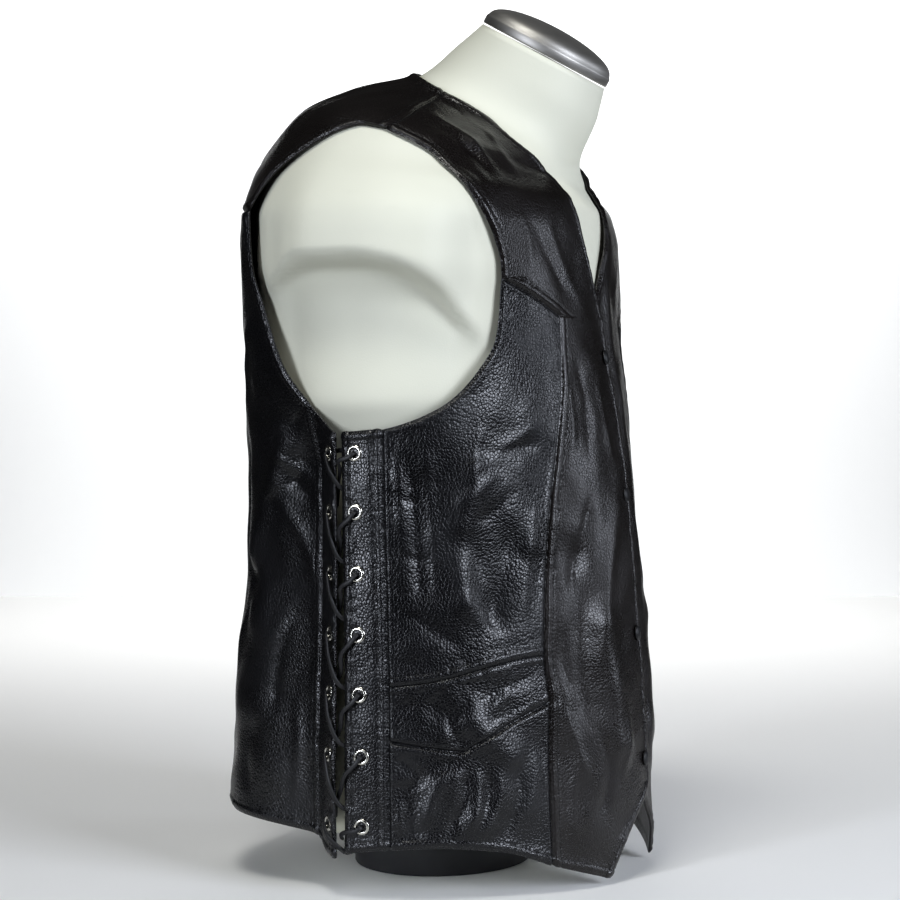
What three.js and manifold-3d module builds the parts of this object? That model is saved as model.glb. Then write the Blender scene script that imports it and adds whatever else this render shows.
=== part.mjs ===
// A side laced leather vest on a limbless dress form.
// Millimetres, +Z up. The vest's front faces -Y and the wearer's right side is at -X.
// The origin is in the middle of the underside of the foot.
import * as THREE from 'three';
import { mergeVertices } from 'three/addons/utils/BufferGeometryUtils.js';
import Module from 'manifold-3d';

const wasm = await Module();
wasm.setup();

// Driving dimensions
const LEATHER = 2; // thickness of a panel
const SEAM_INSET = 0.25; // each panel's edge stands back from the seam line by this much
const TOUCH = 0.4; // air between the form and the leather that rests on it
const FRONT_LAP = 3; // angle by which each front passes the middle
const LAP_AIR = 1.5; // air between the two lapped fronts
const LACE_RADIUS = 1.55;
// A lace runs from an eyelet toward the gap and dives there: its reach before the dive, its lift
// as it dives, and how far short of the gap's middle it stays, in mm.
const LACE_DIVE = {
  front: { reach: 12, lift: -1.8, short: 0.7 },
  back: { reach: 7.2, lift: -1.4, short: 0.1 },
};
const EYELET = { bore: 3.7, barrel: 4.3, hole: 4.7, flange: 6.5, flangeThick: 1, air: 0.3, sides: 8 };
const SNAP = { post: 2.4, hole: 3, cap: 6.5, washer: 5, washerAir: 0.9 };
const FORM_BOTTOM = 40;
const FOOT = { halfWidth: 90, halfDepth: 75, top: 39.7, middleY: 6 };
const CAP = { radius: 60, band: 8, rise: 17, air: 0.3 };
const SHOULDER_BEND = 6; // angle by which the middle of the shoulder seam lies further forward
const BEND_ROWS = 3; // rows of the front main panel over which that dies out

// Sections of the dressed body, from the hem up to the neck. A section is a closed curve round
// the middle line at middleY, and its plane rises by slope toward the back. frontPower and
// backPower of 2 give an ellipse, more gives a squarer section and less a more pointed one.
const SECTION_COLUMNS = ['halfWidth', 'middleY', 'frontY', 'backY', 'frontPower', 'backPower', 'slope'];
const SECTIONS = [
  // height, halfWidth, middleY, frontY, backY, frontPower, backPower, slope
  [0, 190, 8, -180, 180, 1.75, 2.3, 0],
  [40, 192, 8, -180, 181, 1.75, 2.3, 0],
  [100, 194, 8, -178, 178, 1.75, 2.3, 0],
  [190, 193, 6, -172, 168, 1.78, 2.3, 0],
  [264, 193, 5, -166, 160, 1.8, 2.3, 0],
  [346, 195, 5, -158, 159, 1.9, 2.3, 0],
  [390, 196, 5, -151, 161, 2.05, 2.3, 0],
  [430, 196, 5, -144, 162, 2.2, 2.4, 0],
  [471, 200, 5, -138, 160, 2.35, 2.5, 0],
  [510, 208, 3, -136, 158, 2.35, 2.6, 0],
  [545, 208, 0, -134, 158, 2.35, 2.6, 0.03],
  [575, 198, -3, -130, 152, 2.25, 2.5, 0.08],
  [600, 180, -7, -121, 138, 2.1, 2.3, 0.17],
  [618, 164, -13, -116, 116, 2, 2.2, 0.27],
  [634, 130, -24, -116, 80, 2, 2, 0.38],
  [648, 84, -41, -120, 34, 2, 2, 0.5],
  [660, 70, -55, -126, 12, 2, 2, 0.54],
  [675, 63, -72, -132, -10, 2, 2, 0.56],
  [699, 60, -88, -139, -37, 2, 2, 0.577],
];
const NECK_TOP = 699;

// The angle round the body is 0 at the middle front, 90 at the wearer's side and 180 at the
// middle back. Seams and edges of one side are tables of [height, angle].
const PRINCESS_SEAM = [
  [23.7, 37.6], [86.8, 38.6], [151, 38.7], [196.2, 40.3],
  [291.7, 38.4], [360.4, 34.8], [425.9, 31.2], [467.8, 30.7],
];
const STRIP_SEAM = [[42, 80.4], [113, 80.6], [208, 81.7], [303, 82.6], [374, 82.8]];
const FRONT_LACE_EDGE = [[38, 91.2], [90, 91], [187, 91.7], [226, 92.1], [318, 92.5], [372, 92.4]];
const BACK_LACE_EDGE = [[30, 94.3], [111, 94.2], [207, 95.1], [302, 95.2], [372, 94.9]];
const BACK_STRIP_SEAM = [[46, 103.2], [100, 103.5], [200, 104], [393, 103.8]];

// Edges that run round the body are tables of [angle, height].
const ARMHOLE_BELOW = [
  [82.8, 373.8], [87.9, 372.2], [91.6, 371.5], [94.9, 371.5], [99, 380], [103.8, 393],
];
const HEM = [
  [37.6, 23.7], [52.1, 38.5], [69.4, 43.5], [80.4, 42], [89.6, 38.6], [94.3, 33], [98.3, 36], [103.2, 46],
];
const POCKET_MOUTH = { inner: [40.3, 193.8], outer: [81.1, 171.5], wave: 2 };
const POCKET_POINT_SEAM = [
  [38.7, 155.1], [49.3, 140.9], [59.3, 124.1], [62.3, 118.8], [68.9, 121], [80.7, 127.3],
];

// The front main panel in rows from the shoulder seam to the pointed hem.
const FRONT_MAIN_ROWS = [
  // inner angle, inner height, outer angle, outer height, steps down to the next row
  [104.6, 650.5, 91, 617.5, 1],
  [90, 650, 82, 611.5, 1],
  [73.9, 648.4, 76, 604.9, 1],
  [55, 641, 70, 590, 1],
  [38.2, 630.2, 63.8, 568.7, 1],
  [27, 608, 59.5, 548, 1],
  [20.9, 588.4, 56.5, 529.5, 2],
  [13.5, 540.5, 54, 508, 1],
  [7, 507, 53.4, 494.6, 6],
  [-FRONT_LAP, 470, 30.7, 467.8, 2],
  [-FRONT_LAP, 426, 31.2, 425.9, 2],
  [-FRONT_LAP, 360.4, 34.8, 360.4, 2],
  [-FRONT_LAP, 291.7, 38.4, 291.7, 3],
  [-FRONT_LAP, 196.2, 40.3, 196.2, 2],
  [-FRONT_LAP, 151, 38.7, 151, 2],
  [-FRONT_LAP, 76.4, 38.6, 86.8, 2],
  [9, 43, 38, 52, 2],
  [18.3, 6.3, 37.6, 23.7, 0],
];

// The upper side front panel in rows from the yoke seam to the pocket mouth. Its inner edge is
// the princess seam, and wave bends the last row to the curve of the mouth.
const SIDE_UPPER_ROWS = [
  // inner height, outer angle, outer height, wave, steps down to the next row
  [467.8, 53.4, 494.6, 0, 1],
  [447, 53.6, 473, 0, 1],
  [425.9, 54.6, 447, 0, 1],
  [405, 59.2, 421.3, 0, 1],
  [382, 67.8, 393.5, 0, 1],
  [360.4, 78.3, 377.7, 0, 1],
  [350, 82.8, 373.8, 0, 1],
  [330, 82.7, 342, 0, 1],
  [291.7, 82.6, 303, 0, 3],
  [POCKET_MOUTH.inner[1], ...POCKET_MOUTH.outer, POCKET_MOUTH.wave, 0],
];

// The back yoke and the back panel, in rows from the top to the bottom. Each row runs from one
// side over the middle back to the other side.
const BACK_YOKE_ROWS = [
  // side angle, side height, height at the middle back, steps down to the next row
  [104.6, 650.5, 652, 6],
  [91, 617.5, 620, 1],
  [97.2, 617, 611, 1],
  [102.8, 610.1, 602, 1],
  [111.1, 592.6, 589, 1],
  [119, 570, 572, 1],
  [123, 552, 556, 0],
];
const BACK_PANEL_ROWS = [
  [123, 552, 556, 1],
  [120.5, 517, 520, 1],
  [117.5, 487, 490, 1],
  [114, 452, 455, 1],
  [109.5, 420, 428, 1],
  [103.8, 393, 405, 3],
  [103.9, 300, 300, 3],
  [104, 200, 200, 3],
  [103.5, 100, 108, 2],
  [103.2, 46, 64, 0],
];

// Folds of the leather: soft ridges, or troughs where the depth is negative, along straight lines.
const FOLDS = [
  // start angle, start height, end angle, end height, width, depth
  [60, 360, 64, 215, 17, 4],
  [72, 350, 71, 230, 15, -3.5],
  [64, 300, 52, 205, 18, -3],
  [66, 150, 46, 105, 18, 3.5],
  [72, 165, 60, 118, 15, -3],
  [66, 110, 56, 45, 18, 3.5],
  [76, 100, 74, 45, 16, -3],
  [20, 240, 12, 90, 24, 4],
  [28, 300, 26, 120, 22, -3.5],
  [88, 608, 62, 560, 14, 3],
  [78, 625, 46, 600, 14, 2.5],
  [112, 385, 134, 250, 20, 5],
  [118, 330, 140, 200, 18, -4],
  [150, 420, 140, 120, 26, 4],
  [165, 540, 150, 440, 24, -3],
];
const FOLD_FADE = 0.18; // share of a fold's length over which its ends die out

// Behind the lacing the back strip slants in, where the laces pull, to a valley at deepest that
// is rounded over this share of the slant. From there the back rises again.
const LACE_TURN = {
  from: 94.3, deepest: 103.7, rounding: 0.2, to: 135, depth: 24, fadeFrom: 340, fadeTo: 434,
};

// How far the form's skin lies under the outside of the vest, by height. REST is the least, where
// the shoulders of the vest rest on it: the leather and the air that its flat facets need.
const REST = LEATHER + TOUCH + 1.5;
const FORM_INSET = [
  // height, inset at the front, inset at the back
  [FORM_BOTTOM, 34, 34], [190, 32, 32], [345, 30, 30], [380, 20, 23], [400, 14, 20], [471, 9, 16],
  [545, 6, 13], [585, REST, 11], [618, REST, 8], [640, REST, REST], [654, REST, REST],
  [678, 0, 0], [NECK_TOP, 0, 0],
];
// The shoulder end of the form fills the armhole and steps in below this line.
const SHOULDER_END = { angle: 87, halfAngle: 28, bottom: 380, top: 600, swell: 7, recess: 20, step: 26 };
const SHOULDER_STEP_LINE = [
  // angle, height
  [50, 430], [59, 461], [71.4, 495], [80.3, 510], [90.7, 515.5], [102, 515.5], [109, 509], [130, 480],
];

// Lacing: heights of the eyelets, and how far the lace drops from each before it dives into the gap.
const EYELETS = [
  // height, front angle, back angle, front drop, back drop
  [355.6, 89.4, 97.4, 12, 26],
  [308.8, 89.4, 97.5, 25, 38],
  [259.6, 89.1, 97.5, 20, 34],
  [211.3, 88.7, 97.4, 29, 41],
  [163.8, 88, 97, 26, 39],
  [114.8, 87, 96.6, 27, 40],
  [59.2, 87, 96.7, 8, 19],
];
const SNAP_HEIGHTS = [437, 320, 203, 97];

const RAD = Math.PI / 180;
const clamp = (value, low, high) => Math.min(Math.max(value, low), high);
const mix = (a, b, share) => a + (b - a) * share;
const smooth = (edge0, edge1, x) => {
  const s = clamp((x - edge0) / (edge1 - edge0), 0, 1);
  return s * s * (3 - 2 * s);
};

// Looks a value up in a table, along straight lines between its rows.
function lookUp(table, x, column = 1) {
  let i = 0;
  while (i < table.length - 2 && x > table[i + 1][0]) i += 1;
  const share = clamp((x - table[i][0]) / (table[i + 1][0] - table[i][0]), 0, 1);
  return mix(table[i][column], table[i + 1][column], share);
}

// Slopes of a smooth curve through the sections that never overshoots them.
function sectionSlopes(column) {
  const step = (i) => SECTIONS[i + 1][0] - SECTIONS[i][0];
  const rate = (i) => (SECTIONS[i + 1][column] - SECTIONS[i][column]) / step(i);
  const last = SECTIONS.length - 1;
  return SECTIONS.map((row, i) => {
    if (i === 0) return rate(0);
    if (i === last) return rate(last - 1);
    const [before, after] = [rate(i - 1), rate(i)];
    if (before * after <= 0) return 0;
    const [w1, w2] = [2 * step(i) + step(i - 1), step(i) + 2 * step(i - 1)];
    return (w1 + w2) / (w1 / before + w2 / after);
  });
}
const SLOPES = SECTION_COLUMNS.map((name, k) => sectionSlopes(k + 1));

function section(height) {
  const h = clamp(height, SECTIONS[0][0], NECK_TOP);
  let i = 0;
  while (i < SECTIONS.length - 2 && h > SECTIONS[i + 1][0]) i += 1;
  const [low, high] = [SECTIONS[i], SECTIONS[i + 1]];
  const length = high[0] - low[0];
  const s = (h - low[0]) / length;
  const found = {};
  SECTION_COLUMNS.forEach((name, k) => {
    found[name] = (1 + 2 * s) * (1 - s) ** 2 * low[k + 1] + s * (1 - s) ** 2 * length * SLOPES[k][i]
      + s * s * (3 - 2 * s) * high[k + 1] + s * s * (s - 1) * length * SLOPES[k][i + 1];
  });
  return found;
}

// Share of the full depth of the slant behind the lacing.
function slantShare(turn) {
  const { from, deepest, rounding, to } = LACE_TURN;
  const s = clamp((turn - from) / (deepest - from), 0, 1 + rounding);
  const slant = s < 1 - rounding ? s : 1 - (1 + rounding - s) ** 2 / (4 * rounding);
  return slant * (1 - smooth(deepest + rounding * (deepest - from), to, turn));
}

// A point on the dressed body. angle is in degrees and may pass 180 to the other side. pull is 0
// for the form, which the laces don't pull in.
function bodyPoint(angle, height, pull = 1) {
  const ring = section(height);
  const sin = Math.sin(angle * RAD);
  const cos = Math.cos(angle * RAD);
  const depth = cos > 0 ? ring.middleY - ring.frontY : ring.backY - ring.middleY;
  const power = cos > 0 ? ring.frontPower : ring.backPower;
  let radius = ((Math.abs(sin) / ring.halfWidth) ** power + (Math.abs(cos) / depth) ** power) ** (-1 / power);
  const turn = angle > 180 ? 360 - angle : Math.abs(angle);
  const { depth: turnIn, fadeFrom, fadeTo } = LACE_TURN;
  radius -= pull * turnIn * slantShare(turn) * (1 - smooth(fadeFrom, fadeTo, height));
  const y = ring.middleY - radius * cos;
  return new THREE.Vector3(-radius * sin, y, height + ring.slope * (y - ring.middleY));
}

// The outward direction of the body's surface, from two short steps along it.
function bodyNormal(angle, height, pull = 1) {
  const step = 1.5;
  const along = bodyPoint(angle + step, height, pull).sub(bodyPoint(angle - step, height, pull));
  const up = bodyPoint(angle, height + 2 * step, pull);
  up.sub(bodyPoint(angle, height - 2 * step, pull));
  return up.cross(along).normalize();
}

// Height of the folds at a place, in mm along the outward direction.
function foldHeight(angle, height) {
  const turn = angle > 180 ? 360 - angle : Math.abs(angle);
  const here = bodyPoint(turn, height);
  let sum = 0;
  for (const [angle0, height0, angle1, height1, width, depth] of FOLDS) {
    const start = bodyPoint(angle0, height0);
    const run = bodyPoint(angle1, height1).sub(start);
    const share = clamp(here.clone().sub(start).dot(run) / run.lengthSq(), 0, 1);
    const off = here.distanceTo(start.addScaledVector(run, share)) / width;
    const ends = smooth(0, FOLD_FADE, share) * smooth(0, FOLD_FADE, 1 - share);
    sum += depth * ends * Math.exp(-off * off * 2);
  }
  return sum;
}

// A point of the vest, lift mm outside its outer face. side is 1 for the wearer's right.
function vestPoint(angle, height, lift, side = 1) {
  const point = bodyPoint(angle, height);
  point.addScaledVector(bodyNormal(angle, height), foldHeight(angle, height) + lift);
  point.x *= side;
  return point;
}

// A closed wall from a grid of outer points and the matching grid of inner points.
function wall(outer, inner) {
  const rows = outer.length;
  const columns = outer[0].length;
  const points = [...outer.flat(), ...inner.flat()];
  const at = (layer, i, j) => layer * rows * columns + i * columns + j;
  const faces = [];
  const quad = (a, b, c, d) => faces.push(a, b, c, a, c, d);
  for (let i = 0; i < rows - 1; i += 1) {
    for (let j = 0; j < columns - 1; j += 1) {
      quad(at(0, i, j), at(0, i + 1, j), at(0, i + 1, j + 1), at(0, i, j + 1));
      quad(at(1, i, j), at(1, i, j + 1), at(1, i + 1, j + 1), at(1, i + 1, j));
    }
  }
  for (let i = 0; i < rows - 1; i += 1) {
    quad(at(0, i, 0), at(1, i, 0), at(1, i + 1, 0), at(0, i + 1, 0));
    quad(at(0, i + 1, columns - 1), at(1, i + 1, columns - 1), at(1, i, columns - 1), at(0, i, columns - 1));
  }
  for (let j = 0; j < columns - 1; j += 1) {
    quad(at(0, 0, j + 1), at(1, 0, j + 1), at(1, 0, j), at(0, 0, j));
    quad(at(0, rows - 1, j), at(1, rows - 1, j), at(1, rows - 1, j + 1), at(0, rows - 1, j + 1));
  }
  return solidGeometry(points, faces);
}

// A geometry from points and triangles, turned so that its faces point out.
function solidGeometry(points, faces) {
  const geometry = new THREE.BufferGeometry();
  const numbers = points.flatMap((point) => point.toArray());
  geometry.setAttribute('position', new THREE.Float32BufferAttribute(numbers, 3));
  let volume = 0;
  for (let i = 0; i < faces.length; i += 3) {
    const [a, b, c] = [points[faces[i]], points[faces[i + 1]], points[faces[i + 2]]];
    volume += a.dot(b.clone().cross(c));
  }
  geometry.setIndex(volume > 0 ? faces : faces.slice().reverse());
  geometry.computeVertexNormals();
  return geometry;
}

// Moves the edge points of a grid a little inward along the grid's lines, to leave the seam open.
function standBack(grid) {
  const rows = grid.length;
  const columns = grid[0].length;
  const towards = (from, to) => to.clone().sub(from).setLength(SEAM_INSET);
  const moved = grid.map((row) => row.map((point) => point.clone()));
  for (let j = 0; j < columns; j += 1) {
    moved[0][j].add(towards(grid[0][j], grid[1][j]));
    moved[rows - 1][j].add(towards(grid[rows - 1][j], grid[rows - 2][j]));
  }
  for (let i = 0; i < rows; i += 1) {
    moved[i][0].add(towards(grid[i][0], grid[i][1]));
    moved[i][columns - 1].add(towards(grid[i][columns - 1], grid[i][columns - 2]));
  }
  return moved;
}

// A leather panel over a grid of [angle, height] places. liftAt gives the lift of its outer face.
function panel(places, side = 1, liftAt = () => 0) {
  const layer = (depth) => standBack(places.map((row) => row.map(
    ([angle, height]) => vestPoint(angle, height, liftAt(angle) - depth, side),
  )));
  return wall(layer(0), layer(LEATHER));
}

// Places of a panel that is ruled between the two ends of each row of a table. turnAt gives an
// angle to add at a row, counted with fractions, and a share of the way across.
function ruledPlaces(rows, columns, turnAt = () => 0) {
  const places = [];
  rows.forEach(([angle0, height0, angle1, height1, wave, steps], i) => {
    const next = rows[Math.min(i + 1, rows.length - 1)];
    for (let k = 0; k < Math.max(steps, 1); k += 1) {
      const down = k / Math.max(steps, 1);
      const line = [];
      for (let j = 0; j <= columns; j += 1) {
        const across = j / columns;
        const bend = mix(wave, next[4], down) * Math.sin(2 * Math.PI * across);
        const angle = mix(mix(angle0, next[0], down), mix(angle1, next[2], down), across);
        const height = mix(mix(height0, next[1], down), mix(height1, next[3], down), across);
        line.push([angle + turnAt(i + down, across), height + bend]);
      }
      places.push(line);
    }
  });
  return places;
}

// The pocket mouth as a table of [angle, height]: a straight line with one shallow wave.
function mouthTable(columns) {
  return Array.from({ length: columns + 1 }, (unused, j) => {
    const across = j / columns;
    const angle = mix(POCKET_MOUTH.inner[0], POCKET_MOUTH.outer[0], across);
    const height = mix(POCKET_MOUTH.inner[1], POCKET_MOUTH.outer[1], across);
    return [angle, height + POCKET_MOUTH.wave * Math.sin(2 * Math.PI * across)];
  });
}

// Places of a panel between two upright edges and two edges that run round the body.
function framedPlaces(left, right, top, bottom, columns, rows) {
  const places = [];
  for (let i = 0; i <= rows; i += 1) {
    const line = [];
    for (let j = 0; j <= columns; j += 1) {
      let height = mix(top[0][1], bottom[0][1], i / rows);
      let angle = 0;
      for (let pass = 0; pass < 12; pass += 1) {
        angle = mix(lookUp(left, height), lookUp(right, height), j / columns);
        height = mix(lookUp(top, angle), lookUp(bottom, angle), i / rows);
      }
      line.push([angle, height]);
    }
    places.push(line);
  }
  return places;
}

// Places of a back piece, from the wearer's right side over the middle back to the left side.
function backPlaces(rows, columns, turnAt) {
  const half = rows.map(([angle, height, middle, steps]) => [angle, height, 180, middle, 0, steps]);
  return ruledPlaces(half, columns, turnAt).map((line) => {
    const other = line.slice(0, -1).reverse().map(([angle, height]) => [360 - angle, height]);
    return [...line, ...other];
  });
}

function toSolid(geometry) {
  const bare = geometry.clone();
  bare.deleteAttribute('normal');
  bare.deleteAttribute('uv');
  const merged = mergeVertices(bare, 1e-4);
  return new wasm.Manifold(new wasm.Mesh({
    numProp: 3,
    vertProperties: new Float32Array(merged.attributes.position.array),
    triVerts: new Uint32Array(merged.index.array),
  }));
}

function fromSolid(solid) {
  const mesh = solid.getMesh();
  const geometry = new THREE.BufferGeometry();
  geometry.setAttribute('position', new THREE.BufferAttribute(new Float32Array(mesh.vertProperties), 3));
  geometry.setIndex(new THREE.BufferAttribute(new Uint32Array(mesh.triVerts), 1));
  geometry.computeVertexNormals();
  return geometry;
}

// The turn and place that lay a piece's own Z along the leather's outward direction at a spot.
function spotMatrix(angle, height, side) {
  const centre = vestPoint(angle, height, 0, side);
  const out = vestPoint(angle, height, 1, side).sub(centre).normalize();
  const turn = new THREE.Quaternion().setFromUnitVectors(new THREE.Vector3(0, 0, 1), out);
  return new THREE.Matrix4().compose(centre, turn, new THREE.Vector3(1, 1, 1));
}

// Punches round holes through a panel at a list of [angle, height] spots.
function punch(geometry, spots, radius, side) {
  let solid = toSolid(geometry);
  const length = 16;
  for (const [angle, height] of spots) {
    const drill = new THREE.CylinderGeometry(radius, radius, length, EYELET.sides).rotateX(Math.PI / 2);
    drill.applyMatrix4(spotMatrix(angle, height, side));
    solid = solid.subtract(toSolid(drill));
  }
  return fromSolid(solid);
}

const MATERIALS = {
  leather: new THREE.MeshStandardMaterial({ color: 0x1b1b1d, roughness: 0.42, metalness: 0 }),
  lace: new THREE.MeshStandardMaterial({ color: 0x17171a, roughness: 0.55, metalness: 0 }),
  nickel: new THREE.MeshStandardMaterial({ color: 0xc9c8c2, roughness: 0.22, metalness: 1 }),
  enamel: new THREE.MeshStandardMaterial({ color: 0x141416, roughness: 0.3, metalness: 0 }),
  steel: new THREE.MeshStandardMaterial({ color: 0x8d8c88, roughness: 0.35, metalness: 1 }),
  jersey: new THREE.MeshStandardMaterial({ color: 0xe2e3d8, roughness: 0.8, metalness: 0 }),
  foot: new THREE.MeshStandardMaterial({ color: 0x2a2a2c, roughness: 0.6, metalness: 0 }),
};

const group = new THREE.Group();
function add(name, geometry, material) {
  const mesh = new THREE.Mesh(geometry, MATERIALS[material]);
  mesh.name = name;
  group.add(mesh);
  return mesh;
}

// Distance of the form's skin under the outside of the vest.
function formInset(angle, height) {
  const turn = Math.abs(angle);
  const back = smooth(100, 135, turn);
  const plain = mix(lookUp(FORM_INSET, height, 1), lookUp(FORM_INSET, height, 2), back);
  const off = Math.abs(turn - SHOULDER_END.angle) / SHOULDER_END.halfAngle;
  const within = (1 - smooth(0.45, 1, off))
    * smooth(SHOULDER_END.bottom, SHOULDER_END.bottom + 70, height)
    * (1 - smooth(SHOULDER_END.top - 70, SHOULDER_END.top, height));
  const above = smooth(-SHOULDER_END.step, 2, height - lookUp(SHOULDER_STEP_LINE, turn));
  return mix(plain, mix(SHOULDER_END.recess, -SHOULDER_END.swell, above), within);
}

// The torso of the dress form: rings all round from its flat bottom to the tilted neck top.
function formTorso() {
  const around = 32;
  const heights = [
    FORM_BOTTOM, 110, 190, 270, 340, 390, 425, 455, 480, 497, 508, 520, 545, 570, 590, 605, 618, 628,
    638, 648, 656, 668, 682, NECK_TOP,
  ];
  const points = [];
  for (const height of heights) {
    for (let j = 0; j < around; j += 1) {
      const angle = (j * 360) / around;
      const turn = angle > 180 ? 360 - angle : angle;
      const point = bodyPoint(turn, height, 0);
      point.addScaledVector(bodyNormal(turn, height, 0), -formInset(turn, height));
      if (height === FORM_BOTTOM) point.z = FORM_BOTTOM;
      point.x *= angle > 180 ? -1 : 1;
      points.push(point);
    }
  }
  const top = heights.length - 1;
  const bottomMiddle = points.length;
  const topRing = section(NECK_TOP);
  points.push(new THREE.Vector3(0, section(FORM_BOTTOM).middleY, FORM_BOTTOM));
  points.push(new THREE.Vector3(0, topRing.middleY, NECK_TOP));
  const faces = [];
  for (let j = 0; j < around; j += 1) {
    const next = (j + 1) % around;
    for (let i = 0; i < top; i += 1) {
      const [a, b] = [i * around + j, i * around + next];
      faces.push(a, b, b + around, a, b + around, a + around);
    }
    faces.push(bottomMiddle, next, j);
    faces.push(bottomMiddle + 1, top * around + j, top * around + next);
  }
  return solidGeometry(points, faces);
}

// The brushed metal cap: a short band with a low dome, tilted with the neck top.
function neckCap() {
  const { radius, band, rise } = CAP;
  const profile = [new THREE.Vector2(0, 0), new THREE.Vector2(radius, 0), new THREE.Vector2(radius, band)];
  const steps = 4;
  for (let i = 1; i < steps; i += 1) {
    const share = (i / steps) * (Math.PI / 2);
    profile.push(new THREE.Vector2(radius * 0.96 * Math.cos(share), band + rise * Math.sin(share)));
  }
  profile.push(new THREE.Vector2(0, band + rise));
  return new THREE.LatheGeometry(profile, 24).rotateX(Math.PI / 2);
}

// A rolled eyelet: a flange on the leather and a barrel through the hole.
function eyelet() {
  const { bore, barrel, flange, flangeThick, air } = EYELET;
  const bottom = -LEATHER - 0.4;
  const top = air + flangeThick;
  const profile = [
    [bore, bottom], [barrel, bottom], [barrel, air], [flange, air], [flange - 0.7, top], [bore, top],
    [bore, bottom],
  ].map(([x, y]) => new THREE.Vector2(x, y));
  return new THREE.LatheGeometry(profile, EYELET.sides).rotateX(Math.PI / 2);
}

// A fastened snap: a domed cap outside, and a post through both fronts to a washer inside.
function snap() {
  const layers = 2 * LEATHER + LAP_AIR;
  const under = -layers - SNAP.washerAir;
  const profile = [
    [0, under - 1], [SNAP.washer, under - 1], [SNAP.washer, under], [SNAP.post, under],
    [SNAP.post, EYELET.air],
    [SNAP.cap, EYELET.air], [SNAP.cap - 0.3, 1.5], [SNAP.cap * 0.6, 2.6], [0, 3],
  ].map(([x, y]) => new THREE.Vector2(x, y));
  return new THREE.LatheGeometry(profile, EYELET.sides).rotateX(Math.PI / 2);
}

// One lace: a cord along its route through the eyelets, with its middle across the top pair
// inside and its two ends tucked in behind the hem.
function laceRoute(side) {
  const gapAngle = (height) => (lookUp(FRONT_LACE_EDGE, height) + lookUp(BACK_LACE_EDGE, height)) / 2;
  const degrees = 0.3; // angle that covers a millimetre round the side
  const strand = (startAtFront) => {
    const places = [];
    let atFront = startAtFront;
    EYELETS.forEach(([height, frontAngle, backAngle, frontDrop, backDrop], i) => {
      const angle = atFront ? frontAngle : backAngle;
      const drop = atFront ? frontDrop : backDrop;
      const toGap = atFront ? degrees : -degrees;
      const { reach, lift: diveLift, short } = atFront ? LACE_DIVE.front : LACE_DIVE.back;
      const dive = gapAngle(height - drop) - toGap * short;
      const slant = clamp(drop / 12, 0.8, 1.6);
      if (i > 0) places.push([angle - toGap * 0.5, height + 6.5, -6.6]);
      places.push([angle, height + 0.4, -3.8]);
      places.push([angle, height, 0]);
      places.push([angle + toGap * 0.1, height - 0.2, 2.9]);
      places.push([angle + toGap * 3.2, height - 3.2 * slant, 4.5]);
      places.push([angle + toGap * reach, mix(height, height - drop, 0.55), 3.7]);
      places.push([dive, height - drop, diveLift]);
      const next = EYELETS[i + 1];
      if (next) {
        const across = atFront ? next[2] : next[1];
        places.push([mix(dive, across, 0.6), mix(height - drop, next[0], 0.35), -5.4]);
      } else {
        places.push([dive + toGap * 2, height - drop - 4, -6]);
      }
      atFront = !atFront;
    });
    return places;
  };
  const places = [
    ...strand(true).reverse(),
    [EYELETS[0][1] + 1, EYELETS[0][0] + 1.5, -5.8],
    [gapAngle(EYELETS[0][0]), EYELETS[0][0] + 2, -6.4],
    [EYELETS[0][2] - 1, EYELETS[0][0] + 1.5, -5.8],
    ...strand(false),
  ];
  return places.map(([angle, height, lift]) => vestPoint(angle, height, lift, side));
}

function lace(side) {
  const curve = new THREE.CatmullRomCurve3(laceRoute(side), false, 'centripetal');
  const sides = 5;
  const outline = new THREE.Shape();
  for (let i = 0; i < sides; i += 1) {
    const turn = (i * 2 * Math.PI) / sides;
    outline[i ? 'lineTo' : 'moveTo'](LACE_RADIUS * Math.cos(turn), LACE_RADIUS * Math.sin(turn));
  }
  outline.closePath();
  const steps = Math.round(curve.getLength() / 7);
  return new THREE.ExtrudeGeometry(outline, { steps, extrudePath: curve, bevelEnabled: false });
}

// The plain oval foot under the torso.
function foot() {
  const plate = new THREE.CylinderGeometry(1, 1, FOOT.top, 32).rotateX(Math.PI / 2);
  plate.scale(FOOT.halfWidth, FOOT.halfDepth, 1);
  plate.translate(0, FOOT.middleY, FOOT.top / 2);
  return plate;
}

add('form_torso', formTorso(), 'jersey');
add('form_foot', foot(), 'foot');
const cap = add('form_neck_cap', neckCap(), 'steel');
cap.rotation.x = Math.atan(section(NECK_TOP).slope);
const capAir = CAP.air / Math.cos(cap.rotation.x);
cap.position.set(0, section(NECK_TOP).middleY, NECK_TOP + capAir);

const SIDES = [
  { name: 'right', side: 1 },
  { name: 'left', side: -1 },
];
// The left front goes down under the right one where they lap.
const underLap = (angle) => -(LEATHER + LAP_AIR) * (1 - smooth(5, 13, angle));
const frontMainRows = FRONT_MAIN_ROWS.map(([a0, h0, a1, h1, steps]) => [a0, h0, a1, h1, 0, steps]);
// The shoulder seam is the first row of the front and, row by row, the first edge of the yoke.
const seamTurn = (share) => -SHOULDER_BEND * Math.sin(Math.PI * share);
const frontTurn = (row, across) => seamTurn(across) * Math.max(1 - row / BEND_ROWS, 0);
const yokeTurn = (row, across) => seamTurn(Math.min(row, 1)) * (1 - across) ** 2;
const sideUpperRows = SIDE_UPPER_ROWS.map(([h0, a1, h1, wave, steps]) => (
  [lookUp(PRINCESS_SEAM, h0), h0, a1, h1, wave, steps]
));

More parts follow.
